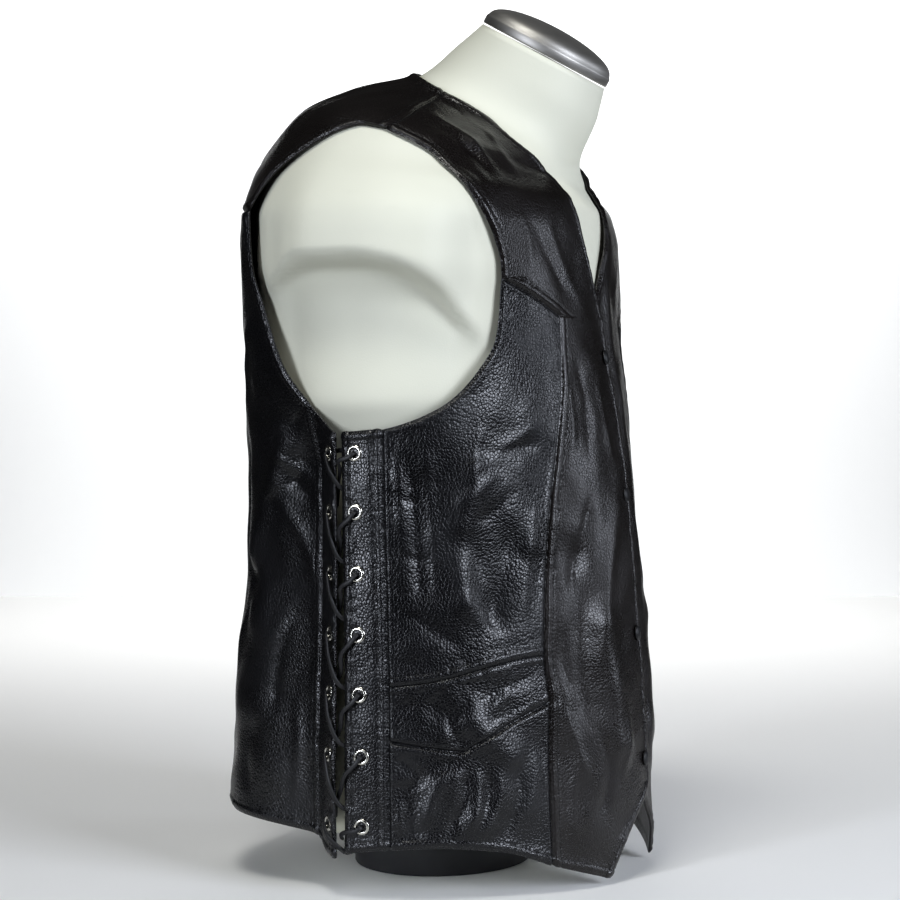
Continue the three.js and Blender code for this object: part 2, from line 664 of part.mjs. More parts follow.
for (const { name, side } of SIDES) {
  const lift = side > 0 ? () => 0 : underLap;
  const snapSpots = SNAP_HEIGHTS.map((height) => [0, height]);
  const main = panel(ruledPlaces(frontMainRows, 6, frontTurn), side, lift);
  add(`front_main_${name}`, punch(main, snapSpots, SNAP.hole, 1), 'leather');
  add(`side_front_upper_${name}`, panel(ruledPlaces(sideUpperRows, 6), side), 'leather');
  const welt = framedPlaces(PRINCESS_SEAM, STRIP_SEAM, mouthTable(6), POCKET_POINT_SEAM, 6, 2);
  add(`pocket_welt_${name}`, panel(welt, side), 'leather');
  const lower = framedPlaces(PRINCESS_SEAM, STRIP_SEAM, POCKET_POINT_SEAM, HEM, 7, 4);
  add(`side_front_lower_${name}`, panel(lower, side), 'leather');

  const frontStrip = framedPlaces(STRIP_SEAM, FRONT_LACE_EDGE, ARMHOLE_BELOW, HEM, 2, 8);
  const frontSpots = EYELETS.map(([height, frontAngle]) => [frontAngle, height]);
  add(`lace_strip_front_${name}`, punch(panel(frontStrip, side), frontSpots, EYELET.hole, side), 'leather');
  const backStrip = framedPlaces(BACK_LACE_EDGE, BACK_STRIP_SEAM, ARMHOLE_BELOW, HEM, 3, 14);
  const backSpots = EYELETS.map(([height, , backAngle]) => [backAngle, height]);
  add(`lace_strip_back_${name}`, punch(panel(backStrip, side), backSpots, EYELET.hole, side), 'leather');

  [['front', frontSpots], ['back', backSpots]].forEach(([edge, spots]) => {
    spots.forEach(([angle, height], i) => {
      const ring = add(`eyelet_${edge}_${name}_${i + 1}`, eyelet(), 'nickel');
      spotMatrix(angle, height, side).decompose(ring.position, ring.quaternion, ring.scale);
    });
  });
  add(`side_lace_${name}`, lace(side), 'lace');
}

SNAP_HEIGHTS.forEach((height, i) => {
  const button = add(`snap_${i + 1}`, snap(), 'enamel');
  spotMatrix(0, height, 1).decompose(button.position, button.quaternion, button.scale);
});

add('back_yoke', panel(backPlaces(BACK_YOKE_ROWS, 7, yokeTurn)), 'leather');
add('back_panel', panel(backPlaces(BACK_PANEL_ROWS, 7)), 'leather');

export default group;
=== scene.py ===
"""Looks of a side laced leather vest on a limbless dress form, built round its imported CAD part.

Lengths in the tables are in millimetres and angles in degrees, in the part's own frame: +Z up, the
vest's front towards -Y and the wearer's right side at -X. Meshes are in metres.
"""

import math

import bpy
import numpy as np
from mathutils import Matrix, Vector


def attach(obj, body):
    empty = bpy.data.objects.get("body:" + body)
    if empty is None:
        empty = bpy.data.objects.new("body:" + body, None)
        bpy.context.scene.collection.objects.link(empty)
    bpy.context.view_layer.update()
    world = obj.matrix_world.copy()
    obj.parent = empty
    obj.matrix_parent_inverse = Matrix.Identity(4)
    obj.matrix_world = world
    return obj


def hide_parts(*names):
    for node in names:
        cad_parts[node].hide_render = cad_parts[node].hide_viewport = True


bl_info = {
    "name": "Side Laced Leather Vest",
    "version": (1, 0, 0),
    "blender": (4, 5, 0),
    "location": "View3D > Sidebar > Vest",
    "description": "Builds a side laced leather vest on a dress form",
    "category": "Add Mesh",
}

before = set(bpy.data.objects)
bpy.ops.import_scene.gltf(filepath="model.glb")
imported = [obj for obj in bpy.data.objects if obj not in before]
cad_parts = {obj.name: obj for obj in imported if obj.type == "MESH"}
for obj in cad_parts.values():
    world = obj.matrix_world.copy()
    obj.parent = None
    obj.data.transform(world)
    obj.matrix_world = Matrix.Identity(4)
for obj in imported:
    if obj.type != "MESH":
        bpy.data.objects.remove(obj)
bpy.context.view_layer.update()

MM = 0.001
LEATHER = 2.0  # thickness of a panel
FRONT_LAP = 3.0  # angle by which each front passes the middle
LAP_AIR = 1.5  # air between the two lapped fronts
LAP_TURN = (5, 13)  # angles between which the left front rises from under the right one
NECK_TOP = 699.0
FORM_BOTTOM = 40.0
ARC = 3.3  # length of one degree round the body, about
BACK_RADIUS = 190  # mean radius of the back, for the spacing of its grid
# distance between the lines of a panel's grid away from its edges
GRID_STEP = {"front": 2.3, "pocket": 2.4, "strip": 2.0, "yoke": 3.05, "back": 3.2}
# the photo's view: degrees towards the front from the right side, metres, and millimetres of film
CAMERA = {"turn": 22, "distance": 1.8, "height": 0.358, "lens": 81.8, "sensor": 36}

# height, half width, middle y, front y, back y, front power, back power, slope
SECTIONS = np.array([
    [0, 190, 8, -180, 180, 1.75, 2.3, 0],
    [40, 192, 8, -180, 181, 1.75, 2.3, 0],
    [100, 194, 8, -178, 178, 1.75, 2.3, 0],
    [190, 193, 6, -172, 168, 1.78, 2.3, 0],
    [264, 193, 5, -166, 160, 1.8, 2.3, 0],
    [346, 195, 5, -158, 159, 1.9, 2.3, 0],
    [390, 196, 5, -151, 161, 2.05, 2.3, 0],
    [430, 196, 5, -144, 162, 2.2, 2.4, 0],
    [471, 200, 5, -138, 160, 2.35, 2.5, 0],
    [510, 208, 3, -136, 158, 2.35, 2.6, 0],
    [545, 208, 0, -134, 158, 2.35, 2.6, 0.03],
    [575, 198, -3, -130, 152, 2.25, 2.5, 0.08],
    [600, 180, -7, -121, 138, 2.1, 2.3, 0.17],
    [618, 164, -13, -116, 116, 2, 2.2, 0.27],
    [634, 130, -24, -116, 80, 2, 2, 0.38],
    [648, 84, -41, -120, 34, 2, 2, 0.5],
    [660, 70, -55, -126, 12, 2, 2, 0.54],
    [675, 63, -72, -132, -10, 2, 2, 0.56],
    [699, 60, -88, -139, -37, 2, 2, 0.577],
], float)

# Upright seams and edges of one side: height, angle
PRINCESS_SEAM = [
    [23.7, 37.6], [86.8, 38.6], [151, 38.7], [196.2, 40.3],
    [291.7, 38.4], [360.4, 34.8], [425.9, 31.2], [467.8, 30.7],
]
STRIP_SEAM = [[42, 80.4], [113, 80.6], [208, 81.7], [303, 82.6], [374, 82.8]]
FRONT_LACE_EDGE = [[38, 91.2], [90, 91], [187, 91.7], [226, 92.1], [318, 92.5], [372, 92.4]]
BACK_LACE_EDGE = [[30, 94.3], [111, 94.2], [207, 95.1], [302, 95.2], [372, 94.9]]
BACK_STRIP_SEAM = [[46, 103.2], [100, 103.5], [200, 104], [393, 103.8]]
# Edges round the body: angle, height
ARMHOLE_BELOW = [
    [82.8, 373.8], [87.9, 372.2], [91.6, 371.5], [94.9, 371.5], [99, 380], [103.8, 393],
]
HEM = [
    [37.6, 23.7], [52.1, 38.5], [69.4, 43.5], [80.4, 42], [89.6, 38.6], [94.3, 33], [98.3, 36],
    [103.2, 46],
]
POCKET_MOUTH = {"inner": (40.3, 193.8), "outer": (81.1, 171.5), "wave": 2}
POCKET_POINT_SEAM = [
    [38.7, 155.1], [49.3, 140.9], [59.3, 124.1], [62.3, 118.8], [68.9, 121], [80.7, 127.3],
]
# inner angle, inner height, outer angle, outer height
FRONT_MAIN_ROWS = [
    [104.6, 650.5, 91, 617.5], [90, 650, 82, 611.5], [73.9, 648.4, 76, 604.9],
    [55, 641, 70, 590], [38.2, 630.2, 63.8, 568.7], [27, 608, 59.5, 548],
    [20.9, 588.4, 56.5, 529.5], [13.5, 540.5, 54, 508], [7, 507, 53.4, 494.6],
    [-FRONT_LAP, 470, 30.7, 467.8], [-FRONT_LAP, 426, 31.2, 425.9],
    [-FRONT_LAP, 360.4, 34.8, 360.4], [-FRONT_LAP, 291.7, 38.4, 291.7],
    [-FRONT_LAP, 196.2, 40.3, 196.2], [-FRONT_LAP, 151, 38.7, 151],
    [-FRONT_LAP, 76.4, 38.6, 86.8], [9, 43, 38, 52], [18.3, 6.3, 37.6, 23.7],
]
# inner height, outer angle, outer height
SIDE_UPPER_ROWS = [
    [467.8, 53.4, 494.6], [447, 53.6, 473], [425.9, 54.6, 447], [405, 59.2, 421.3],
    [382, 67.8, 393.5], [360.4, 78.3, 377.7], [350, 82.8, 373.8], [330, 82.7, 342],
    [291.7, 82.6, 303], [193.8, 81.1, 171.5],
]
# side angle, side height, height at the middle back
BACK_YOKE_ROWS = [
    [104.6, 650.5, 652], [91, 617.5, 620], [97.2, 617, 611], [102.8, 610.1, 602],
    [111.1, 592.6, 589], [119, 570, 572], [123, 552, 556],
]
BACK_PANEL_ROWS = [
    [123, 552, 556], [120.5, 517, 520], [117.5, 487, 490], [114, 452, 455], [109.5, 420, 428],
    [103.8, 393, 405], [103.9, 300, 300], [104, 200, 200], [103.5, 100, 108], [103.2, 46, 64],
]
# Large folds, as the solids have them: angle and height of start and end, width, depth
FOLDS = [
    [60, 360, 64, 215, 17, 4], [72, 350, 71, 230, 15, -3.5], [64, 300, 52, 205, 18, -3],
    [66, 150, 46, 105, 18, 3.5], [72, 165, 60, 118, 15, -3], [66, 110, 56, 45, 18, 3.5],
    [76, 100, 74, 45, 16, -3], [20, 240, 12, 90, 24, 4], [28, 300, 26, 120, 22, -3.5],
    [88, 608, 62, 560, 14, 3], [78, 625, 46, 600, 14, 2.5], [112, 385, 134, 250, 20, 5],
    [118, 330, 140, 200, 18, -4], [150, 420, 140, 120, 26, 4], [165, 540, 150, 440, 24, -3],
]
FOLD_FADE = 0.18  # share of a fold's length over which its ends die out
# Creases, which only the looks have: the points that one passes, its width and its depth
CREASES = [
    # chest and side: the streaks below the armhole, the slanting bands and the hollow beside them
    ([(73, 374), (72, 342), (71, 303), (70.2, 255), (69.4, 216)], 11, 2.8),
    ([(76.2, 368), (75, 300), (73.4, 224)], 11, -2.4),
    ([(79.5, 364), (78.6, 320), (78, 285)], 7, 1.5), ([(67, 334), (54, 356), (40, 384)], 10, 1.9),
    ([(62, 349), (50, 359), (39, 364)], 8, -1.7), ([(66.6, 312), (60, 326), (53, 343)], 9, 1.7),
    ([(64, 296), (57, 306), (48, 330)], 9, -1.4), ([(49, 306), (53.5, 246), (57, 205)], 18, -3.2),
    ([(46, 268), (42, 318)], 12, 1.9), ([(58, 380), (60, 360), (61, 330)], 7, 1.1),
    ([(44, 300), (46, 250), (48, 214)], 9, 1.3), ([(64, 250), (60, 226), (52, 206)], 9, 1.7),
    ([(76, 232), (70, 214), (62, 200)], 8, -1.6), ([(82, 330), (77, 318), (71, 316)], 4, -0.9),
    ([(82, 282), (76, 272), (70, 268)], 4, -0.9), ([(82, 236), (77, 226), (72, 224)], 4, -0.8),
    ([(82, 195), (77, 190), (72, 192)], 4, -0.8),
    # pocket welt
    ([(49, 168), (53, 158), (57, 148)], 7, 1.8), ([(61, 161), (63, 148), (64.6, 136)], 7, -2),
    ([(68.2, 150), (67.4, 137), (66, 124)], 7, 1.6), ([(70, 178), (74, 160), (79, 150)], 6, -1.4),
    ([(43, 176), (54, 166), (60, 154)], 7, -1.2), ([(47, 185), (58, 179), (70, 170)], 5, 0.9),
    # below the pocket: folds that fan out from the seam's point to the hem
    ([(79, 116), (75, 104), (71, 92)], 12, -3.2), ([(66, 110), (70, 82), (73, 55)], 9, 2.9),
    ([(61.5, 112), (62, 84), (66, 50)], 8, -2.6), ([(59, 110), (58.6, 82), (62.2, 47)], 8, 2.3),
    ([(55, 112), (53, 88), (57.4, 46)], 8, 1.8), ([(50, 112), (47.6, 88), (51.6, 45)], 9, -2.2),
    ([(44, 128), (43, 100), (46, 60)], 8, 1.5), ([(57, 104), (55.6, 86), (60, 48)], 6, -1.6),
    ([(77.6, 84), (78, 66), (77, 50)], 6, 1.6),
    # front main panel
    ([(5, 330), (13.8, 266), (20.5, 201), (25, 150)], 17, 3),
    ([(20, 330), (25, 286), (32, 232)], 12, -2.2), ([(32, 448), (28.5, 383), (31.5, 340)], 9, 1.5),
    ([(24, 440), (20, 390), (22, 340)], 10, -1.4), ([(36, 160), (31, 122), (25.4, 84)], 9, 1.8),
    ([(22, 138), (18.3, 94), (22.5, 52)], 10, -2), ([(10.3, 150), (9.8, 116), (13.6, 80)], 8, 1.6),
    ([(33, 226), (34, 190), (29, 150)], 9, -1.6), ([(30, 100), (32, 74), (31, 36)], 7, 1.3),
    ([(12, 420), (9, 370), (6, 340)], 9, 1.1),
    # shoulder, neck edge and yoke
    ([(89, 638), (68.4, 625), (53.5, 587)], 7, 2.3), ([(92, 647), (63.8, 636), (46.7, 590)], 7, 2),
    ([(98, 646), (70.7, 640.5), (51.3, 616)], 7, -1.6),
    ([(80.8, 632), (63.9, 610), (55.4, 573)], 7, -1.6),
    ([(38.7, 554), (31, 514), (16, 476)], 10, 1.5),
    ([(45.3, 552), (37.3, 517), (25, 482)], 10, -1.4),
    ([(70, 600), (62, 585), (58, 560)], 5, -0.9), ([(50, 560), (46, 530), (44, 500)], 8, 1.1),
    # back, under the arm and across the blades
    ([(120.5, 360), (111.7, 342), (104.6, 332)], 6, 1.9),
    ([(117.2, 342), (111, 324), (105.4, 314)], 6, -1.9),
    ([(106, 392), (114, 372), (124, 362)], 6, -1.8),
    ([(106, 352), (118, 322), (132, 300)], 7, -1.4),
    ([(121, 325), (110.2, 285), (104, 238)], 9, 2),
    ([(137.7, 385), (138.5, 298), (124.6, 217)], 12, -2.2),
    ([(110, 240), (118, 190), (120, 130)], 9, -1.7),
    ([(126, 300), (138, 220), (142, 150)], 10, 1.9), ([(112, 160), (110, 110), (112, 62)], 7, 1.5),
    ([(124, 140), (128, 100), (126, 66)], 9, -1.6),
    ([(118, 480), (130, 440), (140, 380)], 10, 1.7),
    ([(150, 520), (158, 470), (156, 400)], 12, -1.6),
    ([(168, 340), (160, 260), (166, 180)], 12, 1.7),
    ([(172, 250), (176, 170), (170, 90)], 10, -1.6),
    ([(128, 545), (140, 520), (156, 508)], 8, 1.2),
    ([(130, 590), (145, 580), (160, 584)], 8, -1.1),
]
CREASE_FADE = 0.3  # share of a crease's length over which its ends die out
CREASE_SHIFT = np.array([1.6, 9])  # most that a crease moves on the hidden side: angle, height
# Behind the lacing the back strip slants in to a valley, from which the back rises again.
LACE_TURN = {"from": 94.3, "deepest": 103.7, "rounding": 0.2, "to": 135, "depth": 24,
             "fade_from": 340, "fade_to": 434}
REST = LEATHER + 1.9  # inset of the form where the leather rests on it, nearly
# height, inset at the front, inset at the back
FORM_INSET = np.array([
    [FORM_BOTTOM, 58, 58], [52, 38, 38], [70, 34, 34], [190, 32, 32], [345, 30, 30],
    [380, 20, 23], [400, 14, 20], [471, 9, 16], [545, 6, 13], [585, REST, 11], [618, REST, 8],
    [640, REST, REST], [654, REST, REST], [678, 0, 0], [NECK_TOP, 0, 0],
], float)
SHOULDER_END = {"angle": 87, "half": 28, "bottom": 380, "top": 600, "swell": 7, "recess": 20}
SHOULDER_STEP_LINE = np.array([
    [50, 430], [59, 461], [71.4, 495], [80.3, 510], [90.7, 515.5], [102, 515.5], [109, 509],
    [130, 480],
], float)
# height, front angle, back angle, front drop, back drop
EYELETS = [
    [355.6, 89.4, 97.4, 12, 26], [308.8, 89.4, 97.5, 25, 38], [259.6, 89.1, 97.5, 20, 34],
    [211.3, 88.7, 97.4, 29, 41], [163.8, 88, 97, 26, 39], [114.8, 87, 96.6, 27, 40],
    [59.2, 87, 96.7, 8, 19],
]
SNAP_HEIGHTS = [437, 320, 203, 97]
SIDES = (("right", 1), ("left", -1))
SHOULDER_BEND = 6.0  # angle by which the middle of the shoulder seam lies further forward
# reach of a lace before it dives into the gap, its lift there, how far short of the middle it stays
LACE_DIVE = {"front": (12.0, -1.8, 0.7), "back": (7.2, -1.4, 0.1)}
# radius and height
CAP_RIM = [(0, 0), (58.6, 0), (59.6, 0.3), (60, 1.0), (60, 6.6), (59.8, 7.5), (59.2, 8.1)]
CAP_DOME = {"radius": 58.5, "bottom": 8.2, "rise": 17, "top": 25}
CAP_AIR = 0.3  # gap between the neck and its cap
# share of the foot's half sizes, and height
FOOT_PROFILE = [(0, 0), (0.97, 0), (0.99, 0.6), (1, 2), (1, 38), (0.995, 39.3), (0.985, 39.7),
                (0, 39.7)]
FOOT_HALF = (90, 75, 1)
FOOT_MIDDLE = (0, 6, 0)
# The pale sweep behind the form and the screen at its far end: along the view, across it, up
FLOOR = [[-450, -600, 0], [3200, -1300, 0], [3200, 1300, 0], [-450, 600, 0]]
SCREEN = [[3200, 1300, -1], [3200, -1300, -1], [3200, -1300, 1600], [3200, 1300, 1600]]
COOL, WARM, WHITE = (0.9, 0.95, 1.06), (1, 1, 0.96), (1, 1, 1)
# Softboxes: place, target and size in metres, power as a share of the key setting, colour
LIGHTS = {
    "key": ((-0.9, -2.18, 0.98), (0, 0, 0.42), (1.0, 1.1), 1.2, COOL),
    "front": ((1.1, -2.1, 0.6), (0, 0, 0.35), (0.4, 1.0), 0.25, COOL),
    "side": ((-2.3, 0.65, 0.6), (0, 0, 0.35), (0.35, 1.1), 0.72, COOL),
    "fill": ((-1.13, -0.05, 2.52), (0, 0, 0.4), (0.7, 0.7), 0.56, WARM),
}
# The screen's own light, with its place and target along the view, and its height
SCREEN_LIGHT = {"place": (1.9, 2.1), "target": (3.2, 0.4), "size": (2.2, 0.4), "power": 1.4}


# ---------------------------------------------------------------- the shape of the dressed body

def smooth(low, high, x):
    """0 below low, 1 above high, and the cubic 3s^2 - 2s^3 between them."""
    s = np.clip((x - low) / (high - low), 0, 1)
    return s * s * (3 - 2 * s)


def slopes(x, y):
    """Slopes of a smooth curve through the points (x, y) that never overshoots them: the weighted
    harmonic mean of the rates on both sides, and nought where these differ in sign."""
    step = np.diff(x)
    rate = np.diff(y, axis=0) / step[:, None]
    found = np.zeros_like(y)
    found[0], found[-1] = rate[0], rate[-1]
    before, after = rate[:-1], rate[1:]
    w1 = (2 * step[1:] + step[:-1])[:, None]
    w2 = (step[1:] + 2 * step[:-1])[:, None]
    same = before * after > 0
    safe_before, safe_after = np.where(same, before, 1), np.where(same, after, 1)
    found[1:-1] = np.where(same, (w1 + w2) / (w1 / safe_before + w2 / safe_after), 0)
    return found


def curve_through(x, y, at):
    """Values at the places `at` of the smooth curve through (x, y), by cubic Hermite pieces."""
    x, y = np.asarray(x, float), np.asarray(y, float)
    y = y.reshape(len(x), -1)
    m = slopes(x, y)
    at = np.clip(np.asarray(at, float), x[0], x[-1])
    i = np.clip(np.searchsorted(x, at, side="right") - 1, 0, len(x) - 2)
    length = (x[i + 1] - x[i])[..., None]
    s = (at - x[i])[..., None] / length
    return ((1 + 2 * s) * (1 - s) ** 2 * y[i] + s * (1 - s) ** 2 * length * m[i]
            + s * s * (3 - 2 * s) * y[i + 1] + s * s * (s - 1) * length * m[i + 1])


def table_at(table, at):
    """A table's other columns as smooth functions of its first one."""
    return curve_through(table[:, 0], table[:, 1:], at)


def line_of(table):
    """A seam or edge as a function: its first column gives the second, smoothly."""
    table = np.array(table, float)
    return lambda at: table_at(table, at)[..., 0]


def run_length(points):
    """Length along a path at each of its points."""
    return np.concatenate([[0], np.cumsum(np.linalg.norm(np.diff(points, axis=0), axis=-1))])


def from_front(angle):
    """The angle from the middle front, on either side of the body."""
    return np.where(angle > 180, 360 - angle, np.abs(angle))


def unit(v):
    """Vectors divided by their own lengths."""
    return v / np.maximum(np.linalg.norm(v, axis=-1, keepdims=True), 1e-9)


princess = line_of(PRINCESS_SEAM)
strip = line_of(STRIP_SEAM)
front_lace_edge = line_of(FRONT_LACE_EDGE)
back_lace_edge = line_of(BACK_LACE_EDGE)
back_strip = line_of(BACK_STRIP_SEAM)
armhole_below = line_of(ARMHOLE_BELOW)
hem = line_of(HEM)
pocket_point = line_of(POCKET_POINT_SEAM)


def mouth(angle):
    """The pocket mouth: a straight line with one shallow sine wave on it."""
    (a0, h0), (a1, h1) = POCKET_MOUTH["inner"], POCKET_MOUTH["outer"]
    across = np.clip((angle - a0) / (a1 - a0), 0, 1)
    return h0 + (h1 - h0) * across + POCKET_MOUTH["wave"] * np.sin(2 * np.pi * across)


def slant_share(turn):
    """Share of the full depth of the slant behind the lacing: a straight ramp, a parabola round
    the valley, and a smooth rise behind it."""
    start, deepest, soft = LACE_TURN["from"], LACE_TURN["deepest"], LACE_TURN["rounding"]
    s = np.clip((turn - start) / (deepest - start), 0, 1 + soft)
    ramp = np.where(s < 1 - soft, s, 1 - (1 + soft - s) ** 2 / (4 * soft))
    return ramp * (1 - smooth(deepest + soft * (deepest - start), LACE_TURN["to"], turn))


def body_point(angle, height, pull=1.0):
    """A point of the dressed body: a superellipse of the section at that height, with other depth
    and power before and behind the middle, slanting in behind the lacing, its plane rising by
    the section's slope towards the back. pull is 0 for the form, which no lace pulls in."""
    angle, height = np.broadcast_arrays(np.asarray(angle, float), np.asarray(height, float))
    half, middle, front, back, front_power, back_power, slope = np.moveaxis(
        table_at(SECTIONS, height), -1, 0)
    sin, cos = np.sin(np.radians(angle)), np.cos(np.radians(angle))
    depth = np.where(cos > 0, middle - front, back - middle)
    power = np.where(cos > 0, front_power, back_power)
    radius = ((np.abs(sin) / half) ** power + (np.abs(cos) / depth) ** power) ** (-1 / power)
    radius = radius - pull * LACE_TURN["depth"] * slant_share(from_front(angle)) * (
        1 - smooth(LACE_TURN["fade_from"], LACE_TURN["fade_to"], height))
    y = middle - radius * cos
    return np.stack([-radius * sin, y, height + slope * (y - middle)], -1)


def body_normal(angle, height, pull=1.0):
    """The outward direction: the cross product of two short steps, up and along."""
    step = 1.5
    along = body_point(angle + step, height, pull) - body_point(angle - step, height, pull)
    up = body_point(angle, height + 2 * step, pull) - body_point(angle, height - 2 * step, pull)
    return unit(np.cross(up, along))


def line_distance(here, points):
    """Distance of each place from a line through points, and the share of its length there."""
    ends = run_length(points)
    best = np.full(here.shape[:-1], 1e9)
    share = np.zeros(here.shape[:-1])
    for k in range(len(points) - 1):
        run = points[k + 1] - points[k]
        along = np.clip((here - points[k]) @ run / (run @ run), 0, 1)
        off = np.linalg.norm(here - points[k] - along[..., None] * run, axis=-1)
        nearer = off < best
        best = np.where(nearer, off, best)
        share = np.where(nearer, (ends[k] + along * (ends[k + 1] - ends[k])) / ends[-1], share)
    return best, share


def fold_height(angle, height):
    """Height of the large folds: each is a bell curve across its line, dying out at its ends."""
    here = body_point(from_front(angle), height)
    total = np.zeros(here.shape[:-1])
    for a0, h0, a1, h1, width, depth in FOLDS:
        off, share = line_distance(here, body_point(np.array([a0, a1]), np.array([h0, h1])))
        ends = smooth(0, FOLD_FADE, share) * smooth(0, FOLD_FADE, 1 - share)
        total += depth * ends * np.exp(-2 * (off / width) ** 2)
    return total


def crease_height(angle, height, side):
    """Height of the small creases: each has a sharper crest than a bell curve. The hidden side has
    the same ones moved a few millimetres and a little weaker or stronger."""
    hidden = (angle > 180) | (side < 0)
    here = body_point(from_front(angle), height)
    total = np.zeros(here.shape[:-1])
    for k, (line, width, depth) in enumerate(CREASES):
        path = curve_through(np.linspace(0, 1, len(line)), line, np.linspace(0, 1, 9))
        moved = path + CREASE_SHIFT * np.sin([7.1 * k, 3.7 * k + 1])
        other_weight = 0.8 + 0.3 * math.sin(5 * k)
        for places, where, weight in ((path, ~hidden, 1), (moved, hidden, other_weight)):
            if where.any():
                off, share = line_distance(here[where], body_point(*places.T))
                ends = smooth(0, CREASE_FADE, share) * smooth(0, CREASE_FADE, 1 - share)
                total[where] += weight * depth * ends * np.exp(-2 * (off / width) ** 1.6)
    return total


def waves(seed, shortest, longest, count=40):
    """A random even field: the sum of plane waves of random direction, length and phase."""
    rng = np.random.default_rng(seed)
    turn = rng.uniform(0, np.pi, count)
    length = np.exp(rng.uniform(math.log(shortest), math.log(longest), count))
    phase = rng.uniform(0, 2 * np.pi, count)
    kx, ky = 2 * np.pi * np.cos(turn) / length, 2 * np.pi * np.sin(turn) / length
    size = (length / longest) ** 0.8
    size = size * math.sqrt(2) / math.sqrt((size ** 2).sum())

    def field(x, y):
        """The height of the field at a place."""
        total = np.zeros(np.broadcast(x, y).shape)
        for i in range(count):
            total += size[i] * np.sin(kx[i] * x + ky[i] * y + phase[i])
        return total
    return field


slack = waves(3, 26, 95)
pucker = waves(8, 6, 16, 24)


# ---------------------------------------------------------------- meshes from grids

def mesh_object(name, points, faces, smooth_shade=True):
    """A mesh object at the origin from points in millimetres and faces of four or three corners."""
    mesh = bpy.data.meshes.new(name)
    flat = np.concatenate([np.asarray(f, np.int32).ravel() for f in faces])
    totals = np.concatenate([np.full(len(f), np.asarray(f).shape[1], np.int32) for f in faces])
    mesh.vertices.add(len(points))
    mesh.vertices.foreach_set("co", (np.asarray(points, float) * MM).astype(np.float32).ravel())
    mesh.loops.add(len(flat))
    mesh.loops.foreach_set("vertex_index", flat)
    mesh.polygons.add(len(totals))
    starts = np.concatenate([[0], np.cumsum(totals)[:-1]]).astype(np.int32)
    mesh.polygons.foreach_set("loop_start", starts)
    mesh.polygons.foreach_set("use_smooth", np.full(len(totals), smooth_shade))
    mesh.update(calc_edges=True)
    mesh.validate()
    made = bpy.data.objects.new(name, mesh)
    bpy.context.scene.collection.objects.link(made)
    return made


def outward(points, faces):
    """The faces, all turned over if the volume that they close is negative."""
    volume = 0.0
    for f in faces:
        f = np.asarray(f)
        a, b = points[f[:, 0]], points[f[:, 1]]
        for k in range(2, f.shape[1]):
            volume += np.einsum("ij,ij->i", a, np.cross(b, points[f[:, k]])).sum()
            b = points[f[:, k]]
    return faces if volume > 0 else [np.asarray(f)[:, ::-1] for f in faces]


def grid_faces(index, closed=False):
    """Quads between the neighbours of a grid of vertex numbers, closed round its columns or not."""
    if closed:
        index = np.concatenate([index, index[:, :1]], 1)
    a, b, c, d = index[:-1, :-1], index[1:, :-1], index[1:, 1:], index[:-1, 1:]
    return np.stack([a, b, c, d], -1).reshape(-1, 4)


def tube_faces(index, low, high):
    """Quads between the rings of a tube, and fans from its first and last ring to two poles."""
    first, last = np.full(index.shape[1], low), np.full(index.shape[1], high)
    fans = np.concatenate([
        np.stack([first, index[0], np.roll(index[0], -1)], -1),
        np.stack([last, np.roll(index[-1], -1), index[-1]], -1)])
    return [grid_faces(index, closed=True), fans]


def rim_loop(rows, columns):
    """Row and column numbers of a grid's border, once round."""
    i = np.concatenate([np.zeros(columns - 1), np.arange(rows - 1), np.full(columns - 1, rows - 1),
                        np.arange(rows - 1, 0, -1)]).astype(int)
    j = np.concatenate([np.arange(columns - 1), np.full(rows - 1, columns - 1),
                        np.arange(columns - 1, 0, -1), np.zeros(rows - 1)]).astype(int)
    return i, j


def shell(outer, inner, rim_steps=3):
    """A closed leather shell: the outer grid, the inner grid, and round their borders a rim that
    is half a circle from one to the other."""
    rows, columns = outer.shape[:2]
    i, j = rim_loop(rows, columns)
    inward_i = np.clip(i, 1, rows - 2)
    inward_j = np.clip(j, 1, columns - 2)
    o, n = outer[i, j], inner[i, j]
    away = (o + n) / 2 - (outer[inward_i, inward_j] + inner[inward_i, inward_j]) / 2
    across = o - n
    lean = (away * across).sum(-1) / np.maximum((across ** 2).sum(-1), 1e-9)
    away = unit(away - across * lean[:, None])
    half = np.linalg.norm(across, axis=-1, keepdims=True) / 2
    count = rows * columns
    points = [outer.reshape(-1, 3), inner.reshape(-1, 3)]
    loops = [i * columns + j]
    for k in range(1, rim_steps + 1):
        turn = math.pi * k / (rim_steps + 1)
        points.append((o + n) / 2 + across / 2 * math.cos(turn) + away * half * math.sin(turn))
        loops.append(2 * count + (k - 1) * len(i) + np.arange(len(i)))
    loops.append(count + i * columns + j)
    points = np.concatenate(points)
    index = np.arange(count).reshape(rows, columns)
    faces = np.concatenate([grid_faces(index), grid_faces(index + count)[:, ::-1],
                            grid_faces(np.stack(loops), closed=True)[:, ::-1]])
    return points, outward(points, [faces])


def spread(length, step=2.6, fine=(0.5, 1.1, 1.8, 2.6, 3.5, 4.4, 5.2, 6.0, 6.8, 7.8, 9.2, 11)):
    """Shares from 0 to 1 along a length: close together near both ends and even between them."""
    fine = np.array([f for f in fine if f < length * 0.4] or [length * 0.2])
    middle = np.linspace(fine[-1], length - fine[-1], max(int((length - 2 * fine[-1]) / step), 2))
    return np.concatenate([[0], fine[:-1], middle, length - fine[:-1][::-1], [length]]) / length


